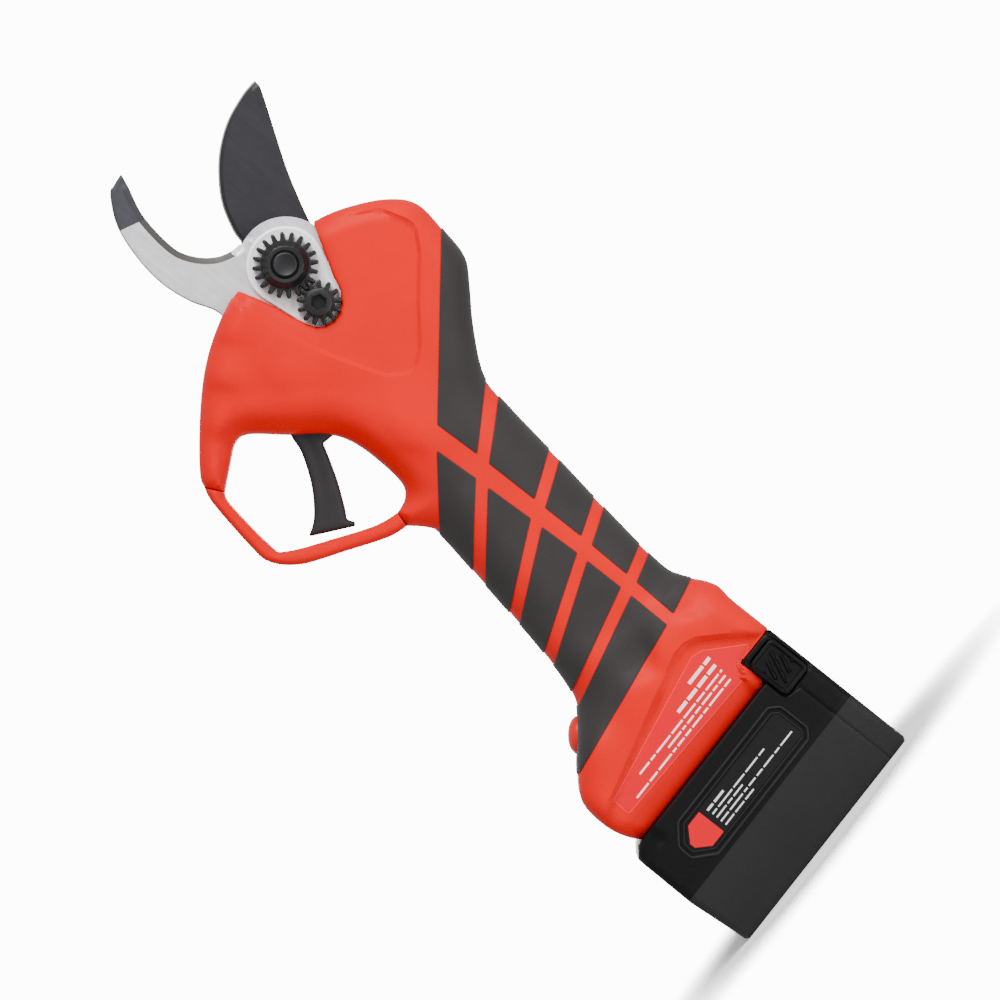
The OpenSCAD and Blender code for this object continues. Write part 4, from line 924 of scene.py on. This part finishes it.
def pack_y(P, side):
    x, z = P.T
    y = np.interp(z, [0, 1.0, 21, 60], [21.7, 22.4, 24.0, 23.5])
    y = y - 0.25 * np.exp(-((z - 21) / 0.8) ** 2)
    d = np.minimum(far(P, PACK_SIDES[0]), far(P, PACK_SIDES[1]))
    y -= 2.1 * (1 - rolled(d, 2.1) / 2.1)
    rest = far(P, PACK, True)
    y -= 0.6 * (1 - rolled(rest, 0.6) / 0.6)
    # the flat facet on the front top corner
    facet = (x + 36.5) * 0.55 + (43 - z) * 0.84
    corner = smooth((-29.5 - x) / 0.8) * smooth((z - 37.6) / 0.8)
    y -= corner * np.clip(1.7 - 0.12 * facet, 0.4, 2.2)
    if side < 0:
        y -= 0.35 * smooth(depth(P, FRAME) / 0.4)
    y -= 0.6 * smooth(depth(P, WINDOW) / 0.4)
    from_seam = far(P, SEAM)
    y -= 0.3 * np.exp(-(from_seam / 0.22) ** 2)
    return side * y


# above the shelf at z 21 the pack takes the darker, finer black: painted shade on its upper part
def pack_shaded_top_paint(mid):
    return np.where(mid[:, 1] > 21, 1, 0)


RAILS = [(-29.0, 24.0, 11.0, 41.0, 46.2), (-29.0, 24.0, 14.0, 46.0, 49.4)]
CONTACTS = [-7.5, -2.5, 2.5, 7.5]


def bevelled_box(name, x0, x1, y0, y1, z0, z1, cut, mats):
    """A block with its twelve edges cut back."""
    lo, hi = np.array([x0, y0, z0]), np.array([x1, y1, z1])
    bm = bmesh.new()
    for axis in range(3):
        for s in (0, 1):
            quad = []
            for a, b in ((0, 0), (1, 0), (1, 1), (0, 1)):
                p = np.zeros(3)
                p[axis] = (lo, hi)[s][axis]
                for other, pick in zip([k for k in range(3) if k != axis], (a, b)):
                    p[other] = (lo[other] + cut, hi[other] - cut)[pick]
                quad.append(bm.verts.new(tuple(p * MM)))
            bm.faces.new(quad)
    bmesh.ops.convex_hull(bm, input=bm.verts[:])
    mesh = bpy.data.meshes.new(name)
    bm.to_mesh(mesh)
    bm.free()
    obj = bpy.data.objects.new(name, mesh)
    bpy.context.scene.collection.objects.link(obj)
    for m in mats:
        mesh.materials.append(m)
    return obj


def bead(name, path, wide, high):
    """A raised round line along a closed path on the pack's near side."""
    outer, inner = grown(path, wide / 2), grown(path, -wide / 2)

    def top(P):
        t = np.minimum(far(P, outer, True), far(P, inner, True)) / (wide / 2)
        return pack_y(P, -1) - high * np.sqrt(np.clip(1 - (1 - np.clip(t, 0, 1)) ** 2, 0, 1))
    return relief(name, outer, top, lambda P: pack_y(P, -1) + 0.3, [M["black"]], 0.4, [inner], (),
                  [wide * 0.15, wide * 0.32], sharp=50)


pack_mats = [M["black"], M["black_fine"]]
shelf = [np.array([(-41, 21), (41, 21)])]
SPLIT = np.array([(30.5, -2), (30.5, 34.2), (25.35, 36), (25.35, 42), (24.65, 44), (24.65, 60)])
case_line = joined(SPLIT, [(-60, 60), (-60, -2)])
cap_line = joined([(60, -2), (60, 60)], SPLIT[::-1])
frame_loops = [np.vstack([loop, loop[:1]]) for loop in (FRAME, grown(FRAME, -0.4))]
case = relief("pack_case", PACK, lambda P: pack_y(P, -1), lambda P: pack_y(P, 1), pack_mats, 1.3,
              lines=shelf + frame_loops, rims=[0.15, 0.5, 1.2, 2.2], paint=pack_shaded_top_paint, clip=case_line)
rails = [bevelled_box("rail_%d" % i, r[0], r[1], -r[2], r[2], r[3], r[4], 0.4, [M["inside"]])
         for i, r in enumerate(RAILS)]
beads = [bead("bead_%d" % i, grown(FRAME, off), wide, high)
         for i, (off, wide, high) in enumerate([(0.25, 0.8, 0.4), (-1.45, 0.45, 0.2)])]
ribs = [bevelled_box("contact_%d" % i, 2, 11, y - 0.4, y + 0.4, 49.2, 49.9, 0.1, [M["brass"]])
        for i, y in enumerate(CONTACTS)]
put(both([case] + rails + beads, "pack_case_moulding"), "battery", "black_plastic", "battery_case")
put(both(ribs, "pack_contacts"), "battery", "black_plastic")
cap = relief("pack_back_cap", PACK, lambda P: pack_y(P, -1), lambda P: pack_y(P, 1), pack_mats, 1.1,
             holes=[grown(LATCH, 0.1)], lines=shelf, rims=[0.15, 0.5, 1.2, 2.2], paint=pack_shaded_top_paint,
             clip=cap_line)
backing = bevelled_box("latch_backing", 25.5, 37.2, -19.5, 19.5, 35.5, 50.8, 0.3, [M["inside"]])
put(both([cap, backing], "pack_back_cap"), "battery", "black_plastic", "battery_back_cap")

sticker = relief("pack_sticker", STICKER, lambda P: pack_y(P, -1) - 0.1,
                 lambda P: pack_y(P, -1) + 0.1, [dark_film], 2.0, rims=[0.2])
put(sticker, "battery", "label_black", "battery_label")
FIELD = softened([(-26.5, 31.3), (-22.6, 35.1), (-17.4, 35.1), (-17.4, 25.7), (-22.8, 25.7),
                  (-26.5, 29.4)], 0.3, 2)
field = relief("pack_sticker_field", FIELD, lambda P: pack_y(P, -1) - 0.14,
               lambda P: pack_y(P, -1) - 0.06, [film], 2.0)
put(field, "battery", "label_black")
lines_black = bars("pack_sticker_lines", [(-15.5, -7.9, 33.0, 0.75, 3), (-15.4, 9.3, 31.3, 0.5, 6),
                                          (-15.4, -3, 29.7, 0.5, 2), (-15.5, 18.5, 28.0, 0.5, 8),
                                          (-15.5, -2, 26.3, 0.5, 5)],
                   lambda P: pack_y(P, -1) - 0.14, [dark_ink])
put(lines_black, "battery", "label_black")

# ---------------------------------------------------------------- latches
RIB = math.radians(-25)


def latch_y(P, side):
    d = depth(P, LATCH)
    y = 24.75 - 0.5 * (1 - rolled(d, 0.5) / 0.5) - 0.65 * smooth((d - 1.0) / 0.5)
    along = (P[:, 0] - 31.1) * math.cos(RIB) + (P[:, 1] - 43.2) * math.sin(RIB)
    across = -(P[:, 0] - 31.1) * math.sin(RIB) + (P[:, 1] - 43.2) * math.cos(RIB)
    for k in range(-2, 3):
        reach = 5.2 - 2.25 * abs(k)
        bar = smooth((0.6 - np.abs(along - 2.3 * k)) / 0.3) * smooth((reach - np.abs(across)) / 0.3)
        y = y + 0.6 * bar * smooth((d - 1.3) / 0.3)
    return side * y


for side, node, body in ((-1, "left_latch", "latch_near"), (1, "right_latch", "latch_far")):
    latch = relief(node + "_pad", LATCH, lambda P, s=side: latch_y(P, s),
                   lambda P, s=side: s * 21.6, [M["black_fine"]], 0.34, rims=[0.12, 0.35])
    put(latch, body, "black_plastic", node)

# ---------------------------------------------------------------- finishes of the CAD parts
FINISH = {
    "screw": ["shell_screws", "case_screws", "battery_screws", "trigger_pin", "trigger_spring",
              "trigger_magnet"],
    "oxide": ["hook_screws", "sector_pins"],
    "gear": ["sector_gear", "bevel_pinion", "output_carrier", "output_planet_1", "output_planet_2",
             "output_planet_3", "middle_carrier", "input_planet_1", "input_planet_2",
             "input_planet_3", "input_sun", "ring_gear", "pinion_bearing", "motor_rotor"],
    "cast": ["gear_case", "case_cover", "gearbox_end_plate", "motor_can"],
    "brass": ["pivot_bush"], "copper": ["motor_stator"], "yellow": ["motor_leads"],
    "lead": ["battery_leads"], "board": ["control_board", "trigger_sensor", "battery_board"],
    "inside": ["motor_end_cap", "terminal_block", "power_switch", "board_parts"],
    "wrap": ["battery_cells"], "white": ["cell_holders"],
}
for finish, nodes in FINISH.items():
    for node in nodes:
        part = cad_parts[node]
        part.data.materials.clear()
        part.data.materials.append(M[finish])

# ---------------------------------------------------------------- stage, light and camera
BASE = cad_box[0][2]


def floor_material():
    n = Nodes("pale_floor")
    flat = n.add("ShaderNodeSeparateXYZ", {"Vector": n.coords})
    away = n.math("SQRT", n.math("ADD", n.math("POWER", flat.outputs[0], 2.0),
                                 n.math("POWER", flat.outputs[2], 2.0)))
    cloud = n.noise(14)
    n.give("Base Color", n.mix(n.ramp(cloud, 0.3, 0.7), (0.9, 0.9, 0.9, 1), (0.93, 0.93, 0.93, 1)))
    n.give("Roughness", 0.9)
    n.give("Specular IOR Level", 0.1)
    n.give("Normal", n.bump(n.noise(900, 3), 0.00002, 0.3))
    n.give("Alpha", n.ramp(away, 0.045, 0.1, 1.0, 0.0))
    return n.mat


floor = relief("floor", circle((0, 0), 104, 72), lambda P: 0, lambda P: 1,
               [floor_material()], 60)
floor.rotation_euler = (math.radians(-90), 0, 0)
floor.location = (0.0, 0.0, BASE - 0.0002)

world = bpy.data.worlds.new("studio")
bpy.context.scene.world = world
world.use_nodes = True
tree = world.node_tree
where = tree.nodes.new("ShaderNodeTexCoord")
split = tree.nodes.new("ShaderNodeSeparateXYZ")
tree.links.new(where.outputs["Generated"], split.inputs[0])
backdrop = tree.nodes.new("ShaderNodeMapRange")
backdrop.interpolation_type = "SMOOTHSTEP"
backdrop.inputs["From Min"].default_value = 0.965
backdrop.inputs["From Max"].default_value = 0.985
backdrop.inputs["To Min"].default_value = 0.85
backdrop.inputs["To Max"].default_value = 13.0
tree.links.new(split.outputs[1], backdrop.inputs["Value"])
tree.links.new(backdrop.outputs[0], tree.nodes["Background"].inputs["Strength"])
tree.nodes["Background"].inputs["Color"].default_value = (1, 1, 1, 1)

# the picture's up and right, as the pruner leans across it
LEAN = math.radians(51.8)
UP = Vector((math.sin(LEAN), 0, math.cos(LEAN)))
RIGHT = Vector((math.cos(LEAN), 0, -math.sin(LEAN)))
MIDDLE = Vector((0.0189, 0, 0.139))


def lamp(name, offset, size, watts):
    light = bpy.data.lights.new(name, "AREA")
    light.energy = watts
    light.size = size
    obj = bpy.data.objects.new(name, light)
    bpy.context.scene.collection.objects.link(obj)
    r, f, u = offset
    obj.location = MIDDLE + RIGHT * r + UP * u + Vector((0, -f, 0))
    obj.rotation_euler = (MIDDLE - obj.location).to_track_quat("-Z", "Y").to_euler()
    return obj


lamp("key", (-0.35, 0.75, 0.85), 0.7, 24)
lamp("fill", (0.7, 0.8, -0.1), 0.9, 10)

lens = bpy.data.cameras.new("camera")
lens.sensor_width = 36
lens.lens = 215
camera = bpy.data.objects.new("camera", lens)
bpy.context.scene.collection.objects.link(camera)
turn = Matrix((RIGHT, UP, Vector((0, -1, 0)))).transposed()
camera.matrix_world = Matrix.Translation(MIDDLE + Vector((0, -1.8, 0))) @ turn.to_4x4()
bpy.context.scene.camera = camera
